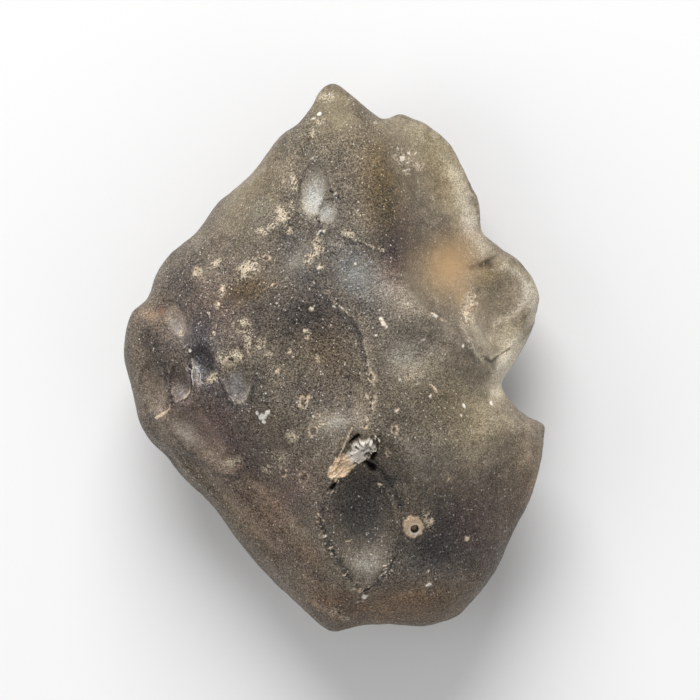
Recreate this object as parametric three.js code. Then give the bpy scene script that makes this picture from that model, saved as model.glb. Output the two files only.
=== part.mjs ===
import * as THREE from "three";
import { mergeVertices } from "three/addons/utils/BufferGeometryUtils.js";
import { ImprovedNoise } from "three/addons/math/ImprovedNoise.js";

// A palm-sized lump of Libyan desert glass, one natural piece, lying on its flattest side.
// Millimetres, +Z up. The origin is on the ground, under the middle of the outline.
// The stone is worked out as one solid region: broken facets and lobes joined with soft edges,
// dished by scoops and flutes, and then wrapped in an even mesh of triangles.

// Overall shape
const MIDDLE = new THREE.Vector3(0, -3, 12.5);
const CROWN_CENTRE = new THREE.Vector3(2, -3, 3);
const CROWN_RADII = new THREE.Vector3(33, 40, 24.6);
const BELLY_CENTRE = new THREE.Vector3(0.5, -1.5, 20);
const BELLY_RADII = new THREE.Vector3(32, 40, 20.8);
const SIDE_ROUNDING = 9;
const FACET_SOFTNESS = 2;
const SIDE_SOFTNESS = 1.6;
const UNDERSIDE_SOFTNESS = 2.4;
// What the soft edges take off the outline, given back to it
const OUTLINE_ALLOWANCE = 0.12;
// How far a rim height is felt along the outline
const RIM_BLEND = 2.5;
const GROUND_EDGE_SOFTNESS = 0.6;

// Unevenness of the skin: height and width of its waves, and how far from the rim they are full
const SWELLS = [
  { height: 0.34, width: 8.5 },
  { height: 0.14, width: 3.6 },
];
const SWELL_START = new THREE.Vector3(7.3, 3.1, 5.7);
const SWELL_FADE = 3;

// The grid that holds the outline: how far it reaches from the middle, and its spacing
const OUTLINE_STEPS = 500;
const GRID_REACH = 30.8;
const GRID_SPACING = 0.35;

// The mesh: an even sphere of triangles, pressed to the stone's proportions before it is wrapped
const GEODESIC_DETAIL = 21;
const PROPORTIONS = new THREE.Vector3(23, 30, 14);
const WRAP_ROUNDS = 70;
const WRAP_EVENNESS = 0.5;
// How strongly a bend in the skin draws the mesh, and the most that one may
const BEND_PULL = 6;
const STRONGEST_PULL = 1.5;
// Finding the skin: step for slopes, longest step and longest way of a search, and how near is near
const PROBE = 0.02;
const SEARCH_STEP = 0.5;
const SEARCH_SHARE = 0.6;
const SEARCH_ROUNDS = 200;
const FARTHEST = 50;
const ABOVE_ALL = 25;
const CLOSE_ENOUGH = 1e-4;
const SAME_POINT = 1e-5;
const GROUND_TOUCH = 0.01;

// The widest outline seen from above, clockwise from the peak. The third number is the height
// above the ground at which the side is widest.
const RIM = [
  // peak
  [-0.1, 30.25, 13.5], [0.7, 30, 13.4], [1.5, 29.4, 13.3], [3.8, 27.5, 12.7], [4.7, 26.75, 12.5],
  // upper lobe, with a small bump where it begins
  [5.7, 26.35, 12.3], [6.3, 26.5, 12.2], [6.9, 26.9, 12.1], [7.7, 27, 12], [8.4, 26.85, 11.8],
  [9, 26.4, 11.6], [9.8, 26.4, 11.5], [10.3, 26, 11.3], [12.1, 24.7, 10.8], [12.9, 23.8, 10.6],
  [13.6, 22.7, 10.4], [14.2, 21.5, 10.2], [14.9, 20.3, 10], [15.3, 19.1, 9.9], [15.9, 17.9, 9.8],
  [16.2, 15.9, 9.5], [16.2, 14.6, 9.4], [16.7, 13.6, 9.2], [17.9, 12.5, 9],
  // right lobe
  [19.7, 11.5, 8.7], [20.8, 10.6, 8.5], [21.8, 9.5, 8.3], [22.5, 8.4, 8.1], [22.9, 7.2, 8],
  [23.05, 6, 8], [22.9, 4.8, 8], [22.3, 3.4, 8.2], [20.7, 0.6, 8.7], [19.1, -2.1, 9.5],
  // notch below it, where the thick body begins, and the right shoulder
  [18.4, -3.2, 11], [19, -3.9, 13.5], [20.7, -6.1, 15], [21.5, -6.6, 15.2], [22.5, -6.8, 15],
  [23.4, -7, 14.8], [23.6, -7.8, 14.6], [23.35, -8.8, 14.2],
  // right side
  [22.9, -11.3, 13], [22.3, -14.1, 12.2], [21.2, -16.9, 11.8], [19.6, -20, 11.3],
  [18.2, -23.3, 11], [16.6, -25.8, 11], [14.5, -28, 11], [13.2, -28.9, 11], [11.8, -29.4, 11],
  // lower edge and tip
  [10.8, -29.7, 11], [9.4, -29.8, 11], [5.7, -29.6, 11.4], [2.6, -29.7, 11.8], [1.6, -30, 12],
  [0.4, -30.3, 12], [-0.4, -30.3, 12], [-1, -29.9, 11.8], [-2.8, -28.4, 11.2],
  // lower left side
  [-6.8, -24.8, 9.8], [-9.4, -21.9, 9.3], [-11.4, -19.4, 9.1], [-13, -17.4, 9],
  [-14.4, -15.8, 9], [-17.2, -13, 9.3], [-18.6, -11, 9.8], [-20.2, -9.3, 10.8],
  // left end
  [-21, -8.2, 11.5], [-21.4, -7.4, 12], [-21.9, -5.3, 12.4], [-22.4, -3.1, 12.8], [-23, -1, 13],
  [-23.15, 0.4, 13], [-22.9, 2.6, 12.8], [-22.5, 4.2, 12.4], [-22.1, 5.1, 12.2],
  [-21, 6.1, 11.7], [-20.5, 6.6, 11.5], [-20.1, 8, 11.1], [-19.7, 9.2, 10.8],
  // upper left side
  [-18.6, 11, 10.4], [-17.4, 12.2, 10.2], [-15.5, 13.6, 10], [-13.6, 16.2, 10],
  [-12.8, 17.2, 10], [-10.9, 18.7, 10], [-9.1, 20.3, 10.2], [-8.3, 21.3, 10.3],
  [-6.7, 23.5, 10.7], [-5.8, 24.6, 11], [-4.3, 25.7, 11.5], [-2.6, 27.4, 12.4],
  [-1.9, 28.7, 12.9], [-1.3, 29.5, 13.3], [-0.75, 30.05, 13.5],
];

// Facets of the thick body, each a plane through three points on it
const BODY_FACETS = [
  // upper left slope, from the crest down to the outline
  [[-3.4, 23.4, 18.6], [-4.1, 15.8, 22], [-14.6, 14.4, 13.5]],
  [[-6, 14, 22.2], [-12, 9.5, 20.6], [-17, 12, 15]],
  // left end
  [[-8, 0, 24.4], [-19.6, 4, 18.4], [-18.6, -8, 17.8]],
  // front below the left end, and the steep side beneath it
  [[-8, -10, 23], [-14.5, -12, 18.4], [-4, -23, 18.6]],
  [[-16.6, -10, 16.4], [-6.3, -21.8, 16.6], [-14.4, -16.2, 10.4]],
  [[-4, -22, 18.6], [-0.4, -27.7, 17], [-6.8, -24.3, 12]],
  // lower tip and the worn band along the lower edge
  [[2, -20, 22], [1, -27, 16.6], [9, -24, 18.4]],
  [[3.5, -27, 16.8], [14, -24.5, 16.8], [9, -29.4, 13]],
  // lower right and right
  [[9, -15, 24.6], [17.5, -9, 22], [17, -21, 17.4]],
  [[17.5, -9, 22], [17.5, -20, 17.6], [21.4, -14, 16]],
  // upper front, and the slope up to the peak
  [[-3, 9, 26], [7, 10, 25.4], [2.5, 21, 20.4]],
  [[-2.5, 23, 18.8], [4, 22, 19], [0.4, 29, 16.2]],
];

// The wall that falls from the crest to the thin right side. It turns inwards half way, so the
// body lies behind its upper part or behind its lower part.
const UPPER_WALL = [[5.2, 24, 17], [7.2, 11, 23], [10, 18, 14.5]];
const LOWER_WALLS = [
  [[7.4, 11, 23], [13, 5.4, 22], [13.4, 10, 14]],
  [[13, 5.4, 22], [19.4, -4.8, 19], [17.1, 0.9, 12]],
];
const WALL_SOFTNESS = 1.6;
const LOWER_WALL_SOFTNESS = 0.7;

// The thin lobes at the upper right and the right lie lower than the body. Each is the stone
// under a few facets of its own. The last facet is the right lobe's bevel above the notch.
const LOBES = [
  [
    [[6, 24, 14.6], [13.5, 20, 12], [8, 14, 15.6]],
    [[12, 24, 12.4], [15, 14, 11.8], [15.6, 19, 10.8]],
    [[2, 28, 14.6], [7, 26.2, 13], [5, 22, 14.8]],
  ],
  [
    [[15, 8, 13], [21, 8.4, 11], [18, 0, 12.2]],
    [[14, 13, 12.4], [20, 10.6, 10.6], [16, 8, 13.4]],
    [[17.5, -0.6, 12.2], [21.2, 3.4, 11], [19.4, -2.2, 9.4]],
  ],
];
const LOBE_FACET_SOFTNESS = 1;
const LOBE_SOFTNESS = 0.9;

// Facets of the underside, round the flat that it rests on
const UNDER_FACETS = [
  [[-10, 8, 0], [-2, 18, 0], [-14, 14, 6.8]],
  [[-3, 17, 0], [6, 17, 0], [0, 29, 8.4]],
  [[6, 16, 0], [12, 7, 0], [15, 18, 6.2]],
  [[13, 8, 0], [14, -5, 0], [22.5, 5, 5.2]],
  [[14, -6, 0], [9, -18, 0], [20.6, -17.5, 6.4]],
  [[8, -19, 0], [-3, -19, 0], [3, -29.5, 7]],
  [[-4, -18, 0], [-12, -8, 0], [-13.8, -15.4, 5]],
  [[-13, -8, 0], [-12, 6, 0], [-22.8, 0, 8]],
];

// Scoops and flutes. at: where its middle lies, in plan. size: length and width.
// turn: the direction of its length, in degrees from +X. depth: below the skin round it.
// A tipped one leans from square to the skin half way towards the vertical. rim: how softly it
// meets the skin, where that isn't DENT_SOFTNESS.
const UPPER_DENTS = [
  // bowl
  { at: [-2.2, -1.8], size: [14.5, 13], turn: 100, depth: 1.15 },
  // spoon-shaped scar, the crevice above it and the ringed pit beside it
  { at: [2.9, -18.8], size: [13.5, 8.2], turn: 96, depth: 1.1, rim: 0.35 },
  { at: [1.8, -11.2], size: [7, 2.6], turn: 40, depth: 0.9 },
  { at: [8.9, -18.8], size: [2.8, 2.6], turn: 0, depth: 0.6 },
  // hollow between the lobes
  { at: [13, 9.4], size: [9.6, 8.6], turn: 60, depth: 1.6, tipped: true, rim: 3 },
  // flutes of the left end
  { at: [-19.6, -4], size: [5.8, 3], turn: 108, depth: 0.65, rim: 0.3 },
  { at: [-17, -3.1], size: [5, 2.5], turn: 108, depth: 0.55, rim: 0.3 },
  { at: [-14.4, -0.8], size: [6, 3.2], turn: 108, depth: 0.6 },
  { at: [-10.2, -3.4], size: [6.4, 3.5], turn: 100, depth: 0.8, rim: 0.35 },
  { at: [-17.9, 3.6], size: [4.6, 2.6], turn: 120, depth: 0.45 },
  { at: [-20, 5], size: [3.4, 2.8], turn: 150, depth: 0.4 },
  // thumb marks, and the groove beside them
  { at: [-2.6, 18.2], size: [6.4, 3], turn: 84, depth: 0.5 },
  { at: [-0.5, 16.2], size: [3.2, 2.5], turn: 60, depth: 0.4 },
  { at: [-3.8, 12.4], size: [6.6, 4], turn: 95, depth: 0.5 },
  { at: [-4.3, 21.4], size: [9, 1.7], turn: 76, depth: 0.3 },
  // upper dish, and the dish below the peak
  { at: [1.8, 10], size: [8.6, 7], turn: 120, depth: 0.6 },
  { at: [2.9, 17.4], size: [7, 5.4], turn: 80, depth: 0.3 },
  // brown hollow left of the bowl, dish right of it
  { at: [-11, 7.4], size: [6.4, 3], turn: 160, depth: 0.5 },
  { at: [8.6, -1], size: [10, 7.4], turn: 20, depth: 0.35 },
  // lower right and lower left dishes
  { at: [13, -17], size: [15, 11], turn: 70, depth: 0.3 },
  { at: [-6, -15.5], size: [10, 5.4], turn: 128, depth: 0.5 },
  // left scallop, and the flutes of the steep side below it
  { at: [-14.4, -9.3], size: [8.4, 4.8], turn: 139, depth: 0.55, rim: 0.35 },
  { at: [-12.6, -15], size: [8, 2.8], turn: 130, depth: 0.35 },
  { at: [-7.8, -20.6], size: [8, 2.6], turn: 129, depth: 0.3 },
  // flutes of the upper left slope
  { at: [-6.9, 20.4], size: [7, 2.8], turn: 74, depth: 0.4 },
  { at: [-10.8, 15.2], size: [7, 3.4], turn: 62, depth: 0.45 },
  { at: [-15, 10.6], size: [5.4, 3], turn: 40, depth: 0.4 },
  // dishes of the two lobes
  { at: [11.6, 19.6], size: [9, 5.6], turn: 112, depth: 0.5 },
  { at: [18.4, 6.4], size: [8.4, 5.6], turn: 104, depth: 0.8, rim: 0.4 },
];
const UNDER_DENTS = [
  // under the left end and the left scallop
  { at: [-15.5, 3], size: [10, 6], turn: 80, depth: 0.9 },
  { at: [-12.5, -11.5], size: [8, 4.6], turn: 140, depth: 0.7 },
  // under the lower edge
  { at: [-5.6, -21.6], size: [8.6, 5], turn: 122, depth: 0.8 },
  { at: [4.6, -23.6], size: [10, 6], turn: 8, depth: 0.9 },
  { at: [14.6, -17.2], size: [10, 6], turn: 62, depth: 0.9 },
  // under the right shoulder and the lobes
  { at: [18.6, -8.8], size: [6, 4], turn: 95, depth: 0.6 },
  { at: [17.6, 4], size: [8, 5], turn: 85, depth: 0.7 },
  { at: [10.8, 16.4], size: [9.6, 6], turn: 128, depth: 0.9 },
  // under the peak and the upper left slope
  { at: [1.6, 22.4], size: [9, 7], turn: 96, depth: 0.8 },
  { at: [-7.4, 18.6], size: [8, 5], turn: 42, depth: 0.7 },
  { at: [-13, 12], size: [6, 4], turn: 50, depth: 0.5 },
];
const DENT_SOFTNESS = 0.5;
// How far the cutting ellipsoid's middle stands out of the skin, as a share of its half height
const DENT_OPENNESS = 0.8;
const DENT_MARGIN = 2;

const smoothMin = (a, b, softness) => {
  const overlap = Math.max(softness - Math.abs(a - b), 0) / softness;
  return Math.min(a, b) - (overlap * overlap * softness) / 4;
};
const smoothMax = (a, b, softness) => -smoothMin(-a, -b, softness);

// The outline's signed distance in plan, and the rim's height beside each place, kept on a grid
function outlineGrid(rim) {
  const side = Math.round((2 * GRID_REACH) / GRID_SPACING) + 1;
  const curve = new THREE.CatmullRomCurve3(
    rim.map((p) => new THREE.Vector3(...p)), true, "centripetal");
  const line = curve.getPoints(OUTLINE_STEPS);
  const distances = new Float64Array(side * side);
  const heights = new Float64Array(side * side);
  for (let row = 0; row < side; row++) {
    for (let column = 0; column < side; column++) {
      const x = column * GRID_SPACING - GRID_REACH;
      const y = row * GRID_SPACING - GRID_REACH;
      let nearest = Infinity;
      let height = 0;
      let weight = 0;
      let inside = false;
      for (let i = 1; i < line.length; i++) {
        const a = line[i - 1];
        const b = line[i];
        const dx = b.x - a.x;
        const dy = b.y - a.y;
        const along = ((x - a.x) * dx + (y - a.y) * dy) / (dx * dx + dy * dy);
        const t = THREE.MathUtils.clamp(along, 0, 1);
        const away = Math.hypot(x - a.x - t * dx, y - a.y - t * dy);
        nearest = Math.min(nearest, away);
        const pull = 1 / (away * away + RIM_BLEND * RIM_BLEND) ** 2;
        height += pull * (a.z + t * (b.z - a.z));
        weight += pull;
        if (a.y > y !== b.y > y && x < a.x + ((y - a.y) / dy) * dx) inside = !inside;
      }
      distances[row * side + column] = (inside ? -nearest : nearest) - OUTLINE_ALLOWANCE;
      heights[row * side + column] = height / weight;
    }
  }
  // Beyond the grid, its border holds
  const place = (length) => {
    const along = THREE.MathUtils.clamp(length, -GRID_REACH, GRID_REACH) + GRID_REACH;
    return Math.min(along / GRID_SPACING, side - 1 - SAME_POINT);
  };
  const between = (values, x, y) => {
    const u = place(x);
    const v = place(y);
    const column = Math.floor(u);
    const row = Math.floor(v);
    const i = row * side + column;
    const low = THREE.MathUtils.lerp(values[i], values[i + 1], u - column);
    const high = THREE.MathUtils.lerp(values[i + side], values[i + side + 1], u - column);
    return THREE.MathUtils.lerp(low, high, v - row);
  };
  return {
    distance: (x, y) => between(distances, x, y),
    height: (x, y) => between(heights, x, y),
  };
}

// A plane through three points, turned so that the stone's middle is behind it
function facetPlane(corners) {
  const [a, b, c] = corners.map((p) => new THREE.Vector3(...p));
  const plane = new THREE.Plane().setFromCoplanarPoints(a, b, c);
  return plane.distanceToPoint(MIDDLE) > 0 ? plane.negate() : plane;
}

function ellipsoidDistance(p, centre, radii) {
  const x = (p.x - centre.x) / radii.x;
  const y = (p.y - centre.y) / radii.y;
  const z = (p.z - centre.z) / radii.z;
  const scaled = Math.hypot(x, y, z);
  const slope = Math.hypot(x / radii.x, y / radii.y, z / radii.z);
  if (slope === 0) return -Math.min(radii.x, radii.y, radii.z);
  return (scaled * (scaled - 1)) / slope;
}

const outline = outlineGrid(RIM);
const bodyPlanes = BODY_FACETS.map(facetPlane);
const upperWall = facetPlane(UPPER_WALL);
const lowerWalls = LOWER_WALLS.map(facetPlane);
const lobes = LOBES.map((facets) => facets.map(facetPlane));
const underPlanes = UNDER_FACETS.map(facetPlane);
const noise = new ImprovedNoise();

function swell(p) {
  let sum = 0;
  for (const { height, width } of SWELLS) {
    const at = p.clone().divideScalar(width).add(SWELL_START);
    sum += height * noise.noise(at.x, at.y, at.z);
  }
  return sum;
}

// The region behind every one of the planes, with soft edges
function behindAll(planes, p, softness) {
  let distance = planes[0].distanceToPoint(p);
  for (const plane of planes.slice(1))
    distance = smoothMax(distance, plane.distanceToPoint(p), softness);
  return distance;
}

// The stone before it was dished: negative inside, and about a distance in millimetres.
// The waves of the skin fade out at the rim, so they leave the outline as it is.
function bareStone(p) {
  const waves = swell(p);
  const crown = ellipsoidDistance(p, CROWN_CENTRE, CROWN_RADII);
  const lower = behindAll(lowerWalls, p, LOWER_WALL_SOFTNESS);
  const wall = smoothMin(upperWall.distanceToPoint(p), lower, WALL_SOFTNESS);
  let body = smoothMax(crown, behindAll(bodyPlanes, p, FACET_SOFTNESS), FACET_SOFTNESS);
  body = smoothMax(body, wall, LOWER_WALL_SOFTNESS);
  for (const planes of lobes)
    body = smoothMin(body, behindAll(planes, p, LOBE_FACET_SOFTNESS), LOBE_SOFTNESS);
  const above = p.z - outline.height(p.x, p.y);
  const upright = outline.distance(p.x, p.y) + (above * above) / (2 * SIDE_ROUNDING);
  const side = upright + waves * Math.min(Math.abs(above) / SWELL_FADE, 1);
  const belly = ellipsoidDistance(p, BELLY_CENTRE, BELLY_RADII);
  const facets = behindAll(underPlanes, p, UNDERSIDE_SOFTNESS);
  const under = smoothMax(belly, facets, UNDERSIDE_SOFTNESS) + waves;
  const stone = smoothMax(smoothMax(body + waves, side, SIDE_SOFTNESS), under, UNDERSIDE_SOFTNESS);
  return smoothMax(stone, -p.z, GROUND_EDGE_SOFTNESS);
}

function gradient(field, p) {
  const q = p.clone();
  const rise = (axis) => {
    q[axis] = p[axis] + PROBE;
    const ahead = field(q);
    q[axis] = p[axis] - PROBE;
    const behind = field(q);
    q[axis] = p[axis];
    return (ahead - behind) / (2 * PROBE);
  };
  return new THREE.Vector3(rise("x"), rise("y"), rise("z"));
}

// The point of the skin straight above or below a place in plan
function skinAt([x, y], rise) {
  const p = new THREE.Vector3(x, y, MIDDLE.z + rise * ABOVE_ALL);
  for (let i = 0; i < SEARCH_ROUNDS; i++) {
    const gap = bareStone(p);
    if (Math.abs(gap) < CLOSE_ENOUGH) break;
    p.z -= rise * THREE.MathUtils.clamp(gap * SEARCH_SHARE, -SEARCH_STEP, SEARCH_STEP);
  }
  return p;
}

// A dent is cut by an ellipsoid that stands out of the skin, so that its rim is an open angle
function dentCutter({ at, size, turn, depth, tipped, rim = DENT_SOFTNESS }, rise) {
  const touch = skinAt(at, rise);
  const out = gradient(bareStone, touch).normalize();
  if (tipped) out.add(new THREE.Vector3(0, 0, rise)).normalize();
  const angle = THREE.MathUtils.degToRad(turn);
  const long = new THREE.Vector3(Math.cos(angle), Math.sin(angle), 0);
  long.addScaledVector(out, -long.dot(out)).normalize();
  const wide = new THREE.Vector3().crossVectors(out, long);
  const section = Math.sqrt(1 - DENT_OPENNESS ** 2);
  const height = depth / (1 - DENT_OPENNESS);
  const radii = new THREE.Vector3(size[0] / 2 / section, size[1] / 2 / section, height);
  const centre = touch.clone().addScaledVector(out, height * DENT_OPENNESS);
  const reach = Math.max(radii.x, radii.y, radii.z) + rim + DENT_MARGIN;
  return { long, wide, out, radii, centre, reach, rim };
}

const cutters = [
  ...UPPER_DENTS.map((dent) => dentCutter(dent, 1)),
  ...UNDER_DENTS.map((dent) => dentCutter(dent, -1)),
];
const ORIGIN = new THREE.Vector3();
const local = new THREE.Vector3();
const offset = new THREE.Vector3();

function stone(p) {
  let depth = bareStone(p);
  for (const cutter of cutters) {
    offset.subVectors(p, cutter.centre);
    if (offset.length() > cutter.reach) continue;
    local.set(offset.dot(cutter.long), offset.dot(cutter.wide), offset.dot(cutter.out));
    depth = smoothMax(depth, -ellipsoidDistance(local, ORIGIN, cutter.radii), cutter.rim);
  }
  return depth;
}

// Where a ray from the middle leaves the stone
function surfaceAlong(direction) {
  let near = 0;
  let far = FARTHEST;
  const p = new THREE.Vector3();
  while (far - near > CLOSE_ENOUGH) {
    const half = (near + far) / 2;
    p.copy(MIDDLE).addScaledVector(direction, half);
    if (stone(p) < 0) near = half;
    else far = half;
  }
  return p.copy(MIDDLE).addScaledVector(direction, near);
}

// Which points each point of the mesh is joined to
function neighboursOf(count, corners) {
  const neighbours = Array.from({ length: count }, () => new Set());
  for (let i = 0; i < corners.length; i += 3) {
    for (let side = 0; side < 3; side++) {
      const from = corners[i + side];
      const to = corners[i + ((side + 1) % 3)];
      neighbours[from].add(to);
      neighbours[to].add(from);
    }
  }
  return neighbours;
}

// Evens the mesh out over the skin, closer together where the skin bends tightly
function spreadOut(points, neighbours) {
  const bends = points.map(() => 0);
  const mean = new THREE.Vector3();
  for (let round = 0; round < WRAP_ROUNDS; round++) {
    points.forEach((p, i) => {
      let weights = 0;
      mean.set(0, 0, 0);
      for (const j of neighbours[i]) {
        const weight = 1 + Math.min(BEND_PULL * bends[j], STRONGEST_PULL);
        mean.addScaledVector(points[j], weight);
        weights += weight;
      }
      mean.divideScalar(weights);
      const outward = gradient(stone, p).normalize();
      bends[i] = Math.abs(offset.subVectors(mean, p).dot(outward));
      p.lerp(mean, WRAP_EVENNESS);
      const uphill = gradient(stone, p);
      const step = THREE.MathUtils.clamp(stone(p) / uphill.lengthSq(), -1, 1);
      p.addScaledVector(uphill, -step);
    });
  }
}

// A geodesic sphere, pressed to the stone's proportions, wrapped on it and evened out
function wrappedGeometry() {
  const sphere = new THREE.IcosahedronGeometry(1, GEODESIC_DETAIL);
  sphere.deleteAttribute("normal");
  sphere.deleteAttribute("uv");
  const geometry = mergeVertices(sphere, SAME_POINT);
  const position = geometry.getAttribute("position");
  const points = [];
  for (let i = 0; i < position.count; i++) {
    const direction = new THREE.Vector3().fromBufferAttribute(position, i);
    points.push(surfaceAlong(direction.multiply(PROPORTIONS).normalize()));
  }
  spreadOut(points, neighboursOf(position.count, geometry.index.array));
  points.forEach((p, i) => position.setXYZ(i, p.x, p.y, Math.abs(p.z) < GROUND_TOUCH ? 0 : p.z));
  geometry.computeBoundingBox();
  const middle = geometry.boundingBox.getCenter(new THREE.Vector3());
  geometry.translate(-middle.x, -middle.y, 0);
  geometry.computeVertexNormals();
  return geometry;
}

const glass = new THREE.MeshStandardMaterial({ color: 0x5d584e, roughness: 0.6, metalness: 0 });
const desertGlass = new THREE.Mesh(wrappedGeometry(), glass);
desertGlass.name = "desert_glass";

const part = new THREE.Group();
part.add(desertGlass);

export default part;
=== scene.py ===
import math

import bpy
import numpy as np
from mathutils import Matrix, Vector, noise
from mathutils.bvhtree import BVHTree


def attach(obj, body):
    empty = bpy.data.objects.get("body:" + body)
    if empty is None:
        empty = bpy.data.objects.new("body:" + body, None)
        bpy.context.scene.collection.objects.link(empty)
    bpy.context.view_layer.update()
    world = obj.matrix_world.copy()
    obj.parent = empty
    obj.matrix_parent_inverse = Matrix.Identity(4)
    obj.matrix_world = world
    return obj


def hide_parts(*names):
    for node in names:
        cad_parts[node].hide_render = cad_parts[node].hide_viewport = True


# The looks of a lump of desert glass. Blender works in metres; sizes here are in millimetres,
# and the meshes are worked out in millimetres and scaled once, when they are made.

MM = 0.001
SKIN_NODE = "desert_glass"
SEED = 29

# The main view looks straight down. Its middle is over this place, and at the height of the
# stone's rim it is this wide.
VIEW_MIDDLE = (1.776, 0.863)
VIEW_WIDTH = 77.8
RIM_HEIGHT = 12.0
CAMERA_DISTANCE = 600.0
SENSOR_WIDTH = 36.0
CLIP_START_M = 0.01

# Floor and lights, in metres and watts. Lamps: name, place, width, power
FLOOR_COLOUR = (0.86, 0.86, 0.86, 1)
FLOOR_REACH = 2.0
FLOOR_DROP = 0.00005
FLOOR_ROUGHNESS = 0.9
SKY_STRENGTH = 0.42
LAMPS = [
    ("key", (-0.10, 0.85, 0.68), 0.8, 12.4),
    ("fill", (-0.7, -0.1, 0.6), 0.6, 1.5),
    ("right fill", (0.6, -0.4, 0.55), 0.6, 0.4),
]

# The solid's triangles are split in four, those that face less far down than this once more,
# and those this near to fine marks once and twice more
DOWNWARD = -0.35
FINE_MARGINS = (0.35, 0.12)
TIGHTEN_ROUNDS = 6
# Places are told apart to this part of a millimetre
KEYS_PER_MM = 10000
# Columns of what is known at each corner while the mesh is split, after its place
DEPTH = 3
NORMAL = slice(4, 7)
UPWARD = 6
# How far up the skin faces where marks begin to show, and where they show in full
FACING = (-0.05, 0.18)
# Thickness is felt with one ray straight in and this many around it: how far they lean, how
# deep they start and the shortest that counts
RAYS_AROUND = 6
RAY_LEAN = 0.6
RAY_START = 0.05
SHORTEST_RAY = 0.3

# What sets noises with different seeds apart
NOISE_SHIFT = (17.3, 5.1, 11.7)
# The noise that makes edges ragged is two in one: their widths, and the share of the finer one
RAGGED_WIDTHS = (0.5, 0.22)
FINER_SHARE = 0.6
CRUMBLY_WIDTH = 0.3
# Unevenness all over: width and height of its bumps
PEEL = [(3.0, 0.07), (1.4, 0.045), (0.7, 0.03)]
# Small random pits all over: how many, their radius, how deep they are for their radius, and
# how far past their radius their flat bottom makes them reach
PIT_COUNT = 420
PIT_RADIUS = (0.35, 1.5)
PIT_DEPTH = 0.16
PIT_FLATNESS = 1.15

# The glass is thick from the first of these depths on and thin from the second, where this
# share of it turns milky. So does this share of the places marked as milky.
THICK_TO_THIN = (17.0, 9.0)
MILKY_BY_DEPTH = 0.6
MILKY_BY_MARK = 0.9
# Its colours, from dark to light tones: in its pits, where it is frosted and where it is milky
PITS = [
    (0.0, (0.003, 0.002, 0.002)),
    (0.25, (0.009, 0.006, 0.004)),
    (0.5, (0.046, 0.032, 0.019)),
    (0.75, (0.160, 0.118, 0.070)),
    (1.0, (0.340, 0.275, 0.190)),
]
FROST = [
    (0.0, (0.092, 0.083, 0.074)),
    (0.25, (0.175, 0.148, 0.124)),
    (0.5, (0.325, 0.272, 0.208)),
    (0.75, (0.560, 0.480, 0.375)),
    (1.0, (0.880, 0.800, 0.670)),
]
MILK = [
    (0.0, (0.055, 0.045, 0.030)),
    (0.3, (0.175, 0.140, 0.092)),
    (0.6, (0.400, 0.325, 0.220)),
    (1.0, (0.780, 0.690, 0.540)),
]
# Noises of the glass: bumps per millimetre, detail, roughness, distortion
NOISES = {
    "clouds": (0.25, 4.0, 0.6, 0.0),
    "mottle": (1.1, 3.0, 0.75, 0.0),
    "grain": (4.4, 2.0, 0.9, 0.0),
    "fine": (6.6, 1.0, 0.8, 0.0),
    "worms": (3.0, 1.0, 0.5, 1.0),
    "curls": (2.0, 2.0, 0.6, 1.2),
    "heaps": (4.8, 2.0, 0.7, 0.6),
}
# The middle of a noise, and the ranges in which most of it lies
NOISE_MIDDLE = 0.5
NOISE_RANGE = (0.3, 0.7)
CORE_RANGE = (0.35, 0.65)
# How much clouds and mottling change the tone, about its middle
CLOUD_TONES = (0.42, 0.58)
MOTTLE_TONES = (0.13, -0.13)
# Grain turns from pits to frost in this range, up to this much frost. Specks are this share
# of it, and worms are the rest.
GRAIN_RANGE = (0.42, 0.58)
MOST_FROST = 0.94
SPECK_SHARE = 0.85
# How far right the grain begins to fade, where it has faded most, and what is left of it
FADE_FROM_TO = (0.0, 16.0)
FADED_GRAIN = 0.75
# How frosty it is where the grain has faded, and where it is hazy and where a sheen is painted;
# how finely shaded all over
EVEN_FROST = (0.42, 0.42, 0.42)
HAZE_AND_SHEEN_FROST = (0.62, 0.62, 0.62)
FINE_SHADES = (0.5, 1.5)
# Worms of frost: how wide, how frosty, and where the mottling lets them show
WORM_WIDTH = (0.045, 0.0)
WORM_FROST = 0.55
WORM_PATCHES = (0.4, 0.6)
# How much of its specks, and of its frost in all, milky glass keeps
MILKY_SPECKS = 0.6
MILKY_FROST = 0.5
# Bright points in the frost, painted glints, and stray grains of sand: bumps per millimetre of
# the noise that bends their cells, and its reach; cells per millimetre, share that hold one,
# radius in cells
SPARKLES = ((6.0, 0.10), (4.2, 0.12, 0.44))
STRAYS = ((2.6, 0.35), (0.8, 0.30, 0.13))
# The smallest of them, and their soft edge, in their largest radius
SMALLEST_DOT = 0.4
DOT_EDGE = (-0.2, 0.3)
SPARKLE = (0.85, 0.80, 0.72)
SPARKLE_SHARE = 0.7
STRAY = (0.78, 0.71, 0.58)
STRAY_SHARE = 0.9
STRAY_PATCHES = (0.4, 0.5)
# Colour of the painted orange glow of light coming through, and how much of it shows
GLOW = (0.78, 0.50, 0.25)
GLOW_SHARE = 0.8
# Painted shade: its colour, how much the marked rims, holes, cracks and gaps get, and how much falls
# among crumbs
PAINTED_SHADE_COLOUR = (0.006, 0.005, 0.005)
PAINTED_SHADE_SHARE = 0.9
CRUMB_SHADE = 0.4
RUSTY = (0.26, 0.10, 0.05)
RUST_RANGE = (0.4, 0.6)
RUST_LEAST = 0.2
# Curls of crumbs: how wide, where the mottling and the marks let them show, how much more
# whole the marks make them
CURL_WIDTH = (0.085, 0.045)
CURL_PATCHES = (0.46, 0.52)
CURL_MARKS = (0.12, 0.6)
CURL_FILL = 0.1
# Heaps of crumbs: the same, with the range of the noise that makes them
HEAP_RANGE = (0.58, 0.61)
HEAP_PATCHES = (0.40, 0.47)
HEAP_MARKS = (0.04, 0.3)
HEAP_FILL = 0.16
CRUMB_RELIEF = 0.5
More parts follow.
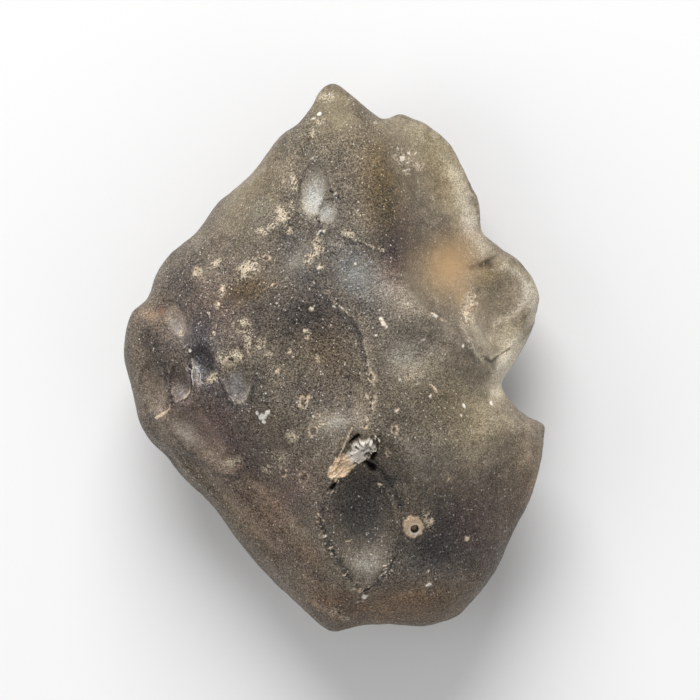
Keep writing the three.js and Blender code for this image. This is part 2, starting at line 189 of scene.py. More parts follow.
# Sand from dark to light: flakes, tan crust and chalky crust, and how much of the glass it hides
FLAKES = ((0.62, 0.48, 0.32), (1.0, 0.88, 0.68))
TAN = ((0.56, 0.39, 0.24), (0.96, 0.74, 0.51))
CHALK = ((0.68, 0.63, 0.54), (0.99, 0.96, 0.89))
SAND_COVER = 0.95
# What light does in the glass: how see-through it is from thick to thin, how rough from valley
# to peak of the grain, how strong its bumps are from thick to thin, and their height in metres
CLEARNESS = (0.2, 0.34)
ROUGHNESS = (0.56, 0.42)
BUMP_STRENGTH = (0.75, 0.2)
BUMP_HEIGHT = 0.00022
REFRACTION = 1.46
SPECULAR = 0.3
ABSORBED = (0.52, 0.42, 0.16, 1)
ABSORPTION = 160.0

# Places on the upper side are (right, up) from the middle of the main view, in millimetres at
# the rim's height.

# Soft ovals: place, half length, half width, turn of the length from the right, strength.
# Tones lighten or darken and add up, tints multiply, and of the others only the strongest counts
# at each place. The tones are partly the glass's own and partly painted light and shade: painted
# highlights and sheen where hollows face the key light, painted light on rims facing away from it.
TONES_AND_LIGHT = [
    # peak, upper left slope and its edge
    ((-1.4, 25.4), 2, 0.9, -10, 0.05), ((-0.7, 24.3), 1.6, 1.3, 0, 0.06),
    ((-12.2, 17.6), 5.4, 2, 60, 0.08), ((-11.4, 19.8), 3, 1, 58, 0.06),
    ((-7.4, 18.8), 3.4, 1.6, 80, 0.08), ((-6.9, 20.3), 2.4, 1.4, 60, 0.05),
    ((-9.9, 15.4), 1.4, 1, 90, 0.08),
    # the two hazy dents, lighter with a painted sheen, and the darker ground below them
    ((-4, 17.6), 2.3, 1.2, 80, 0.2), ((-4.1, 16.6), 1.2, 0.8, 80, 0.08),
    ((-2.4, 15.5), 1.1, 0.9, 60, 0.18), ((-7.1, 12), 2, 1.2, 80, -0.14),
    ((-5.8, 12.6), 1.4, 1.4, 0, -0.09), ((-6.2, 9.6), 1.3, 1, 80, 0.12),
    ((-4.3, 17), 2.2, 1.2, 85, 0.12), ((-4.7, 6.8), 3.8, 2.6, 10, -0.12),
    ((-4.8, 8.1), 1.6, 1, 0, -0.12), ((-9.4, 4.2), 5.6, 2, 5, -0.18),
    ((-12.4, 6.4), 2.2, 1.2, 0, -0.22), ((0.8, 8.6), 3.4, 2.6, 130, 0.07),
    ((1, 8.4), 1.6, 1, 0, 0.1),
    # left end
    ((-16.7, 2), 3, 1.4, 100, -0.16), ((-17, 1.2), 2.6, 1.8, 0, -0.12),
    ((-19, 6.6), 3, 1.6, 50, -0.12), ((-22.6, 0.6), 2, 1.4, 90, -0.3),
    ((-22.6, 2.4), 1.4, 1.4, 0, -0.14), ((-23.8, 0.3), 0.7, 2.6, 0, 0.14),
    ((-20.6, -1), 1.4, 1.2, 0, -0.08), ((-20.8, 0.3), 1.2, 1.2, 0, -0.14),
    ((-19.4, 3.1), 1.5, 0.9, 110, 0.08), ((-19.2, 2.1), 0.7, 0.6, 0, 0.16),
    ((-22, 3.8), 1.2, 0.9, 0, 0.26), ((-21.6, -5), 2.4, 1, 109, 0.1),
    ((-18.9, -4.9), 0.9, 0.8, 0, 0.26), ((-16.2, -1.6), 1.5, 1.1, 110, -0.12),
    ((-14.6, -4.8), 1.6, 3, 0, -0.08), ((-18.3, 9.4), 2, 1.4, 40, -0.1),
    ((-18.8, 5.4), 1.6, 1.4, 0, 0.06), ((-17, 4.4), 2.6, 1.6, 0, 0.04),
    ((-16.9, 4), 1.5, 1.6, 0, -0.11), ((-20.2, 5.6), 1, 0.7, 40, 0.14),
    ((-17, 7.4), 1.6, 1.2, 30, 0.1), ((-18, 7), 1.6, 1.3, 50, -0.18),
    ((-14, 1.8), 1.6, 1.2, 60, 0.1), ((-16.4, 0.2), 1.2, 1, 0, -0.1),
    ((-22.9, -2.6), 0.8, 2.6, 0, 0.1), ((-12.7, -4), 1.8, 1.1, 98, 0.12),
    ((-12.4, -4.7), 1.2, 0.9, 90, -0.08), ((-18.6, -9.1), 3, 1.1, 135, 0.36),
    ((-19.7, -9.6), 1.7, 1.1, 130, 0.16), ((-14.4, -8.2), 2, 1.4, 120, -0.1),
    ((-14.4, -12.6), 1.8, 0.9, 150, 0.22), ((-15.8, -13), 1.2, 1, 0, 0.06),
    ((-11.6, -11.6), 3.2, 2.4, 140, -0.16), ((-13.6, -9.4), 2.4, 1.6, 120, -0.06),
    # brown band and the lobe right of it
    ((4, 15.4), 5.4, 1.8, 98, -0.22), ((4.4, 11.3), 1.8, 1.5, 90, -0.28),
    ((4.8, 23.6), 2.6, 1.6, -45, 0.08), ((1.4, 21.8), 2.4, 2, 0, 0.1),
    ((9.8, 20.4), 1.4, 1.2, 0, 0.05), ((7, 24.6), 2.4, 1.4, -20, 0.1),
    ((8.2, 23.4), 3.4, 1.8, -35, 0.12), ((13.2, 16.4), 6.6, 1.5, 113, 0.18),
    ((10, 19), 3.4, 2.4, 110, 0.1), ((10.1, 19.1), 1.7, 1.2, 0, -0.12),
    ((13.4, 13.6), 2.4, 1.5, 60, 0.2), ((8, 9.4), 2.4, 3.2, 0, 0.1),
    ((14.4, 7), 1.3, 3.6, 0, 0.12),
    # crest and right lobe, with painted light on the rim and lower flank facing away from the lamps
    ((6.8, -2.2), 2.2, 1.8, 0, 0.12), ((5.6, 0.2), 2, 2.4, 0, 0.24),
    ((5.8, -7.8), 2.4, 2, 0, -0.1), ((8.6, -1), 4, 2.6, 0, 0.1),
    ((7.4, 4.6), 3, 2.6, 30, 0.12), ((5.2, 6.2), 1.8, 2.2, 40, 0.22),
    ((16.4, 6), 2.6, 2.2, 60, -0.02), ((16.4, 1.5), 1.3, 0.8, 35, 0.13),
    ((18.7, 5.9), 1.3, 1.4, 0, 0.16), ((18.7, 1.4), 1, 0.8, 40, 0.07),
    ((9.8, 0.3), 2, 1.8, 60, 0.13), ((14.2, 10.3), 1.2, 1.2, 0, 0.1),
    ((7.6, -3), 1.6, 1.6, 0, 0.05), ((17, -1.8), 1.5, 0.6, 62, 0.3),
    ((20.6, 5.4), 0.9, 3.4, 0, 0.56), ((19.6, 2), 1, 2.4, -40, 0.2),
    ((18, 1.4), 1.6, 1.2, 40, 0.04), ((17.8, 9.2), 2, 1.2, 140, 0.1),
    ((14.2, 2.2), 3.2, 0.9, 105, 0.26), ((16.3, 0.8), 2.6, 1.5, 35, 0.16),
    ((17.7, -1.9), 2.8, 1, 62, 1),
    # right shoulder and edge
    ((15, -5.4), 5.6, 3.2, 135, 0.08), ((15.7, -7), 3, 2, 140, 0.12),
    ((16, -4.4), 0.8, 1, 0, 0.1), ((14, -11), 4.6, 2.6, 10, 0.2),
    ((19.4, -10.4), 5, 2, 100, 0.12), ((19.6, -9.9), 0.6, 0.8, 0, 0.14),
    ((20, -12), 0.6, 0.9, 0, 0.16), ((19.1, -12.7), 0.4, 0.4, 0, 0.14),
    ((15.2, -12.4), 0.5, 0.4, 0, 0.14),
    # bowl, with a painted highlight at its lower end
    ((-2.4, 3), 5, 2.2, 0, -0.2), ((-1.6, -8.2), 3, 1.6, 20, 0.24),
    ((-2.6, -7.6), 1.6, 1.2, 0, 0.08), ((1.1, -6.7), 0.8, 1.8, 0, 0.2),
    ((1.6, -2.6), 0.5, 1.4, 0, 0.1), ((-2.4, -11.9), 1.5, 1.1, 0, 0.1),
    ((-4.4, -4.4), 3.6, 3, 0, -0.14), ((-1, -12), 4, 2, 20, 0.08),
    # spoon scar and beside it, with a painted highlight at the scar's lower end
    ((1.6, -17.4), 4.2, 3.2, 80, -0.32), ((4, -14.4), 1.8, 1, 130, -0.14),
    ((1, -20.4), 2.6, 2.6, 0, -0.14), ((-8, -17.4), 1.4, 1.2, 0, -0.04),
    ((1.7, -24.2), 2.2, 1.7, 70, 0.26), ((10.4, -20.8), 5, 4, 20, -0.3),
    ((-2, -28.6), 2.6, 1.6, -30, -0.14), ((8.2, -13.2), 2, 1.6, 0, 0.08),
]
# Bluish: the glass's own tint, with a painted bluish sheen in the hollows that face the key light
SLATE_AND_SHEEN = [
    ((-9.9, 15.4), 1.6, 1.2, 90, 0.6), ((-4, 17.8), 2.4, 1.3, 80, 1),
    ((-2.4, 15.5), 1.3, 1.1, 60, 1), ((0.6, 8.7), 4.4, 2.7, 122, 1.6),
    ((-5.6, 10.4), 3.2, 1.8, 100, 0.8), ((-16.4, 1), 1.8, 2.2, 110, 1),
    ((-14.6, -4.6), 1.4, 2.4, 0, 0.6), ((-12.6, -4.2), 2, 1.3, 98, 1.5),
    ((-16.6, -2.2), 2.4, 1.2, 105, 1.8), ((-18.9, -4.8), 1.2, 0.9, 90, 0.9),
    ((-19.6, -3.2), 1.8, 1.6, 0, 0.4), ((-19.4, 2.8), 1.4, 1, 110, 0.8),
    ((-17.6, -9.4), 3.4, 1.3, 140, 0.5), ((-1.7, -8.3), 3, 1.6, 20, 0.6),
    ((6.1, 0), 3.8, 3.4, 60, 0.6), ((7.6, -12.2), 4, 2.6, 30, 0.5),
    ((0.6, -17.8), 4, 3, 80, 0.5), ((1.7, -24.6), 2.6, 2.2, 80, 0.7),
    ((8.9, -23.3), 5, 3.6, 20, 0.7),
]
OLIVE = [
    ((-1.7, 26.4), 4.6, 3.2, 100, 0.7), ((-9.4, 17.6), 6, 2.4, 60, 0.6),
    ((9.4, 22.2), 3.6, 2.4, -40, 0.5), ((16.8, 1), 3.4, 1.8, 35, 0.3),
    ((12, -6.8), 6.4, 4.2, 150, 0.8),
]
GOLD = [
    ((10.6, 18), 3, 1.8, 112, 0.3), ((3.6, 17.6), 5.6, 2.2, 98, 1.2),
    ((-11.8, 6.5), 2.8, 1.3, 15, 1.1), ((-3, 0.4), 3.6, 3.2, 80, 0.25),
    ((15.2, 8.4), 1.6, 0.9, 20, 0.5),
]
BROWN = [
    ((12, 11), 2.4, 2, 60, 0.5), ((-22, 3.8), 1.2, 0.9, 0, 0.5),
    ((-23.4, 0.6), 1.8, 5, 0, 0.2), ((-22.4, 1.8), 1.8, 3, 0, 0.3),
    ((-1.6, 0.6), 6, 4, 100, 0.25), ((20.6, -14.4), 2.6, 5.4, -12, 0.7),
    ((-9.6, -19.4), 9, 2.6, 130, 0.7), ((-4.1, -23), 2.2, 1.4, 130, 0.5),
    ((6, -28.4), 6.4, 2.4, 5, 1.35), ((-2.4, -28), 3, 1.8, -30, 0.9),
]
PLUM = [
    ((5, 10.8), 3.6, 1.8, 80, 1), ((-15.6, 4.4), 5.4, 4.6, 0, 0.7),
    ((-19, -5), 4, 5, 0, 0.6), ((-14.8, -6.6), 2.4, 4, 0, 0.6),
    ((14, -19.4), 4, 4.4, 0, 0.9), ((-6, -14.4), 3, 2.4, 130, 0.8),
    ((-8, -17.2), 2, 2, 0, 0.8), ((-13.4, -10.4), 4.4, 2.4, 130, 0.9),
]
# Painted light on the right lobe's lower flank, which faces away from the lamps
PAINTED_LIGHT_TINT = [
    ((17.9, -2.2), 3, 1.2, 62, 1),
]
# What each kind of tint multiplies red, green and blue by
TINTS = [
    ((0.9, 1, 1.16), SLATE_AND_SHEEN),
    ((1.02, 1, 0.8), OLIVE),
    ((1.12, 0.96, 0.62), GOLD),
    ((1.14, 0.93, 0.76), BROWN),
    ((1.06, 0.91, 0.97), PLUM),
    ((1.22, 1.22, 1.24), PAINTED_LIGHT_TINT),
]
# Strokes of lighter or darker tone, partly the glass's own lines and partly painted highlights on
# lit edges and painted shade in creases: bent line, half width, strength
TONE_AND_LIGHT_STROKES = [
    # scar's upper right edge
    ([(2.9, -12.8), (4.1, -14.1), (5.3, -16.1), (5.7, -17.4)], 0.26, -0.4),
    ([(3.3, -13), (4.4, -14.2), (5.6, -16)], 0.12, 0.16),
    # groove left of the hazy dents, and lines between and below them
    ([(-4.4, 24.4), (-5.4, 20.4), (-5.9, 17.6), (-7, 12.6)], 0.45, -0.09),
    ([(-2.6, 17.6), (-3.2, 16.2), (-3.5, 14.7)], 0.22, -0.2),
    ([(-3.7, 14.8), (-3.2, 13.3), (-3.3, 12.2)], 0.2, -0.3),
    # ledge: a painted highlight on its lit edge and painted shade below it
    ([(-1, 13.2), (0.3, 12.6), (1.8, 11.9), (2.7, 11.4)], 0.12, 0.42),
    ([(-1.1, 12.9), (0.2, 12.3), (1.7, 11.6), (2.4, 11.3)], 0.1, -0.26),
    ([(-2.2, 17.8), (-1.7, 17.3), (-1.1, 16.8)], 0.12, -0.5),
    ([(-2.2, 12), (-1, 11.7)], 0.18, 0.24),
    # left end: outlines of its scallops and flutes, painted highlights and shade along their rims
    ([(-20.1, -3), (-20, -4.5), (-19.9, -6)], 0.16, -0.34),
    ([(-21.1, -1.3), (-20.3, -3)], 0.25, -0.2),
    ([(-18.2, -1.9), (-17.95, -3.2), (-17.95, -4.4), (-18.6, -5.4), (-19.3, -5.7), (-19.8, -5),
      (-19.9, -3.8), (-20.1, -2.1)], 0.12, 0.3),
    ([(-17.9, -1.8), (-17.7, -2.6), (-17.7, -3.8), (-17.9, -4.9), (-18.7, -5.7), (-19.5, -5.9)],
     0.12, -0.36),
    ([(-20.6, -1), (-19.6, -1), (-18.8, -2.2)], 0.25, 0.1),
    ([(-17.4, -1.2), (-17.2, -2.4), (-16.9, -3.8)], 0.3, 0.4),
    ([(-15.9, -0.6), (-15.4, -2.4), (-15.6, -4.4)], 0.4, -0.16),
    ([(-14.3, -2), (-14, -3.6), (-13.3, -5.2), (-12.5, -6), (-11.6, -5.4), (-11.2, -3.8)],
     0.13, 0.28),
    ([(-14.7, -2.4), (-14.3, -4.2), (-13.6, -5.6), (-12.6, -6.5)], 0.2, -0.24),
    ([(-10.6, -2), (-10.6, -3.6), (-11.2, -5.6), (-12, -6.6)], 0.3, -0.2),
    ([(-20.4, -8.6), (-18.2, -11.4), (-15.2, -13.6), (-12.6, -14.2), (-11.4, -13)], 0.25, -0.24),
    ([(-15.4, -5.4), (-14.8, -7.6), (-13.8, -9.6)], 0.3, 0.12),
    ([(-14, -5.8), (-13.4, -8), (-12.4, -10)], 0.25, 0.12),
    ([(-16.8, -6.6), (-15.8, -9), (-14.4, -11.2)], 0.25, 0.1),
    ([(-15.6, -13.4), (-13.6, -13.6), (-12, -12.8)], 0.25, 0.2),
    ([(-21.6, 4.6), (-19.8, 5.6), (-18.2, 4.8)], 0.25, -0.16),
    # upper lobe: frost along its edge, and the dark edge itself
    ([(11.3, 20), (12.4, 17.8), (12.9, 15.6), (13.3, 13.3), (14.9, 11.3)], 0.8, 0.2),
    ([(13.2, 18.9), (13.9, 17.2), (14.3, 15), (14.8, 13.4), (16, 11.6)], 0.1, -0.14),
    # crease between the lobes, with painted shade
    ([(13.3, 9.2), (14.2, 9.3), (15, 9.7), (15.9, 10.4)], 0.22, -0.46),
    ([(14.5, 9.5), (15.6, 9.6)], 0.4, -0.3),
    # right lobe: a painted highlight along the arc of its rim, a dark line outside it, and its lower
    # boundary
    ([(17.2, 9.3), (18.6, 8.6), (19.6, 7.3), (19.7, 6.4), (19.3, 5.3), (18.6, 4.3), (17.3, 3.4),
      (16.1, 3)], 0.38, 0.28),
    ([(17.6, 10.1), (19.1, 9.4), (20.3, 7.9), (20.6, 6.7), (20.2, 5), (19.4, 3.6),
      (18.1, 2.6)], 0.2, -0.16),
    ([(14.7, -0.8), (15.7, -1.3), (17, -0.4), (17.9, 0.2)], 0.14, -0.5),
    ([(17.9, 0.2), (19.1, 1.2), (20.3, 2.6)], 0.18, -0.2),
    ([(15.7, -0.9), (17, 0), (17.9, 0.6)], 0.14, 0.2),
    # crest beside the right lobe: a painted highlight on it and painted shade beside it
    ([(12.1, 3.2), (12.8, 2.1), (13.6, 0.4), (14.7, -0.9)], 0.14, 0.3),
    ([(11.6, 2.9), (12.4, 1.4), (13.2, -0.1), (14.2, -1.4)], 0.2, -0.18),
    ([(15.9, -1.6), (16.9, -4)], 0.25, -0.16),
    # bowl: painted highlights and shade along its rims
    ([(-9.8, -1.8), (-9.9, -4), (-9.3, -6.4)], 0.4, -0.16),
    ([(-2.8, 6.6), (-1.1, 4.8), (0.9, 3.3), (1.4, 2), (1.8, -0.2), (2.4, -3.1)], 0.13, 0.26),
    ([(-3.1, 6.1), (-1.4, 4.4), (0.5, 3), (1.1, 1.8), (1.4, -0.2), (2, -3)], 0.26, -0.24),
    ([(0.2, 4.7), (1.8, 2.8), (2.3, -0.7)], 0.4, 0.16),
    ([(2.2, -1.2), (2.7, -3.4), (2.8, -6), (1.8, -8.2)], 0.4, 0.18),
    ([(-0.3, -4.4), (-0.2, -7.4)], 0.45, -0.12),
    ([(-8.8, 1.2), (-6, 3.2), (-2.6, 4.2)], 0.45, -0.1),
    # spoon scar
    ([(-2.8, -16.4), (-3.1, -18.6), (-2.7, -20.8), (-1.6, -23), (0.2, -25.4)], 0.22, -0.26),
    ([(2.8, -13.6), (4.7, -15.8), (5.2, -18.6), (5.2, -21.4), (4.6, -23.8)], 0.35, 0.1),
    ([(5.2, -21.6), (4.7, -23.6), (3.4, -25.6), (1.6, -26.8)], 0.3, -0.26),
    # right edge
    ([(21.2, -8.3), (21.1, -11.1), (20.6, -14.4), (19.7, -17.2)], 0.3, 0.1),
    # streaks along the lower left edge
    ([(-15.6, -14.6), (-12, -18.4), (-8, -22.4)], 0.3, 0.1),
    ([(-13.4, -14.8), (-10, -18.2), (-6, -22.6), (-3, -26)], 0.35, -0.1),
    ([(-10.6, -15), (-7.8, -17.8), (-5.4, -20.2)], 0.45, 0.12),
    ([(-4.6, -27.6), (-2.4, -29.2), (-0.4, -30.2)], 0.35, 0.16),
]
# Where the glass is thin and looks milky
MILKY = [
    ((9.7, 20), 7.6, 3.6, 125, 1), ((12.6, 13.6), 3.4, 1.8, 115, 0.8),
    ((16.9, 5.4), 5.6, 4.2, 95, 1), ((16.8, -0.6), 3, 1.6, 50, 1),
    ((18, -2.4), 3, 1.2, 62, 1), ((10.9, 9), 3.2, 3.8, 0, 0.8),
    ((-1.7, 28), 3, 2.4, 100, 0.5), ((-11.4, 18.4), 6, 1.6, 58, 0.5),
    ((-12.4, 17), 6, 1, 55, 0.3),
]
# Where the frost is even, so that hardly any pits show: on the lobes the glass is smoother, and
# in the hollows that face the key light a sheen is painted there
HAZES_AND_SHEEN = [
    ((-18.9, 2.3), 1.6, 1, 110, 0.6), ((-4.1, 17.6), 2.8, 1.4, 82, 0.6),
    ((-6.2, 9.6), 1.2, 1, 80, 0.6), ((-1.9, -8.2), 2.4, 1.3, 20, 0.5),
    ((0.6, 8.7), 2.4, 1.4, 10, 0.4), ((-17.8, -9.8), 2.2, 0.9, 135, 0.6),
    ((-1.4, 25.4), 2, 1, -10, 0.5), ((17, 5), 5, 4.2, 95, 0.85),
    ((11.4, 18.4), 7, 2.6, 118, 0.5), ((-12.6, -4), 1.9, 1.2, 98, 0.4),
]
# Where light that comes through the stone is painted as an orange glow
GLOWS = [
    ((10.9, 9.3), 2.8, 2.8, 10, 0.95), ((12.6, 6.2), 1.2, 2.2, 30, 0.6),
    ((8.4, 10.4), 1.6, 1.2, 0, 0.35),
]
# Where sand has caught in the skin as crumbs and curls
CRUMBS = [
    # left
    ((-11.4, 9), 1.5, 0.8, 32, 1), ((-15, 9.6), 0.94, 0.39, 28, 0.75),
    ((-17, 8.5), 0.75, 0.65, 0, 0.6), ((-14.2, 6.7), 0.38, 0.78, -10, 0.7),
    ((-14.8, 5), 0.25, 0.45, 0, 0.6), ((-11.9, 2.7), 1.1, 0.9, 0, 0.6),
    ((-11.3, 0.8), 0.4, 1.3, 0, 0.7), ((-10.1, 0.6), 0.9, 0.6, 30, 0.5),
    ((-9, -0.5), 0.62, 0.33, 0, 0.6), ((-13.2, -1), 1.4, 0.8, 12, 1.1),
    ((-13.6, -2.2), 0.7, 0.6, 0, 0.8), ((-15.3, -3.1), 0.75, 0.52, 20, 1),
    ((-15.2, 1.9), 0.3, 0.8, -20, 0.6), ((-18.8, 1.9), 0.38, 0.39, 0, 0.7),
    ((-13.3, -12.5), 1.25, 0.52, 20, 0.7), ((-9.2, -13.4), 0.88, 0.78, 20, 0.45),
    # groove left of the hazy dents
    ((-2.6, 28.1), 1.12, 0.59, 10, 0.65), ((-3.4, 25.4), 0.62, 0.45, 0, 0.55),
    ((-4.2, 24), 0.44, 0.91, 0, 0.5), ((-6.3, 18.7), 0.38, 1.04, 10, 0.8),
    ((-6.5, 15.9), 0.38, 0.78, 0, 0.6), ((-7.6, 15), 1, 1.17, 50, 0.7),
    ((-8.7, 13.8), 0.5, 0.33, 0, 0.7), ((-9.8, 13.2), 0.62, 0.45, 0, 0.8),
    ((-6.8, 13.4), 0.5, 0.52, 0, 0.5),
    # ledge and below it
    ((-0.3, 13.1), 0.88, 0.39, -20, 0.75), ((1.2, 15.1), 0.5, 0.26, -20, 0.6),
    ((3.5, 11.2), 0.62, 0.33, 0, 0.4), ((-3.6, 11.6), 0.75, 0.78, 0, 0.9),
    ((-3.3, 9.2), 0.44, 0.33, 0, 0.8), ((-4.7, 10.1), 0.62, 0.65, 0, 0.6),
    ((-4.1, 10.6), 0.8, 0.5, 40, 0.8),
    # upper lobe and beside the right one
    ((2.9, 25.2), 0.25, 0.26, 0, 0.7), ((6.1, 21.4), 1.8, 1.3, -30, 0.42),
    ((7.6, 20.5), 0.88, 0.65, 0, 0.6), ((6.3, 19.7), 0.44, 0.2, 0, 0.9),
    ((13.3, 4.6), 0.8, 1.9, -12, 1),
    # others
    ((-6.7, -0.2), 0.44, 0.26, 0, 0.8), ((-8.2, -2.2), 0.38, 0.39, 0, 0.7),
    ((-4.8, 1.6), 0.38, 0.78, 0, 0.5), ((-3.7, -1.1), 0.25, 0.45, 0, 0.5),
    ((-6.4, -9.6), 0.75, 0.65, 0, 0.6), ((-3.2, -8.4), 1.6, 1.2, 0, 0.3),
    ((-7.6, -12), 1.4, 1.2, 0, 0.3), ((6.8, -2.6), 1.9, 1.2, 0, 0.4),
    ((6.5, 5), 0.9, 0.7, 0, 0.4), ((8.6, -18.8), 0.62, 1.17, 20, 0.6),
    ((-3.4, -21), 0.5, 3.6, 15, 0.2), ((-1.4, -29.4), 2, 0.65, -25, 0.35),
]
# A few of those are rusty
RUST = [
    ((-21.1, 4.4), 0.3, 0.4, 0, 0.8), ((13.5, 4.6), 0.3, 0.6, -12, 0.8),
    ((14.2, 5.6), 0.25, 0.3, 0, 0.6),
]

# Scoops with crisp rims: place, half length, half width, turn of the length, depth, shine. Each
# is deepest towards the start of its length, runs out towards the end and has a painted highlight
# there, where it faces the key light; the shine is how strong that painted highlight is.
SCOOPS = [
    # the two hazy dents
    ((-4.1, 17.8), 3.3, 1.6, 262, 0.22, 0.3), ((-2.4, 15.4), 1.5, 1.2, 240, 0.18, 0.34),
    # left end
    ((-21.9, -4.7), 3, 1.4, 285, 0.22, 0.14), ((-18.9, -3.7), 2.1, 1.05, 280, 0.25, 0.12),
    ((-16.3, -1.8), 2.4, 1.5, 285, 0.22, 0.02), ((-12.6, -3.4), 2.7, 1.6, 278, 0.28, 0.16),
    ((-19.6, 3.6), 2.4, 1.3, 300, 0.2, 0.22), ((-16.6, -9.4), 4.2, 2, 320, 0.22, 0.14),
    ((-12.4, 7.2), 3.2, 1.5, 335, 0.18, 0),
    # upper middle
    ((-5.6, 12), 3.2, 1.9, 275, 0.2, 0.06), ((0.4, 9.6), 4.6, 3.3, 300, 0.22, 0),
    # bowl, scar and others
    ((-3.9, -2), 7, 5.6, 280, 0.3, 0), ((1.3, -19.8), 6.4, 3.7, 276, 0.34, 0.17),
    ((6.6, -1.6), 4.4, 3.2, 210, 0.16, 0.06), ((-8.6, -17), 4.4, 2.2, 310, 0.16, 0.04),
]
# How many times deeper they are made, how round a dish is, how far their edges stray, and how
# much they slant along their length, within which bounds
SCOOP_DEEPER = 1.7
DISH_POWER = 0.8
SCOOP_RAGGED = 0.03
SCOOP_SLANT = 0.6
SCOOP_SLANTS = (0.3, 1.6)
# Their painted highlight is full from this far inside the rim on, and hazy as a painted sheen.
# Their rims are this wide, and get painted shade where the slant is steep.
SHINE_EDGE = 0.35
HAZE_OF_SHINE = 2.4
SCOOP_RIM = 0.1
RIM_SLANTS = (0.8, 1.3)
RIM_PAINTED_SHADE = 0.4
# Scoops with more shine than this and strokes narrower than this need the fine mesh
CRISP_SHINE = 0.11
FINE_STROKE = 0.17
STROKE_RAGGED = 0.2
# Random scoops: how many, radius, depth for their radius, how much each direction counts for
# it, and how much of them is left out where the marks are
SCOOP_COUNT = 90
SCOOP_RADIUS = (1.0, 3.4)
SCOOP_DEPTH = 0.075
SCOOP_SQUASH = (1, 1, 0.8)
SCOOP_FADE = 0.75

# Small rings of sand, each round a burst bubble: place, half length, half width, turn
RINGS = [
    ((-7.4, -13.6), 0.46, 0.4, 100), ((-5.2, -14.2), 0.58, 0.48, 90),
    ((-13.3, -2.3), 0.56, 0.46, 60), ((-9.3, 10.2), 0.4, 0.36, 0),
    ((-17, 8.7), 0.46, 0.36, 90), ((-8.4, 7.2), 0.24, 0.22, 0),
    ((-5.2, -5.6), 0.62, 0.36, 55), ((5, -8.9), 0.48, 0.34, 90),
    ((4.2, -11.4), 0.36, 0.17, 100), ((-4.1, -9.1), 0.58, 0.44, 80),
    ((-3.7, -7.3), 0.3, 0.26, 0), ((2.4, -3.1), 0.48, 0.32, 100),
]
# A ring's line: half width, height, sand and whiteness, and where the crumbly noise breaks it
RING_LINE = 0.14
RING_HEIGHT = 0.05
RING_SAND = 0.85
RING_WHITENESS = 0.1
RING_BREAKS = (-0.35, 0.1)
# The hole in it, its depth and painted shade, and the crumbs round it: where the noise puts
# them, and how near
RING_HOLE = 0.12
RING_SHADE = 0.15
RING_CRUMBS = (0.28, 0.45)
RING_NEAR = (-0.35, -0.05)
RING_CRUMB_SAND = 0.7

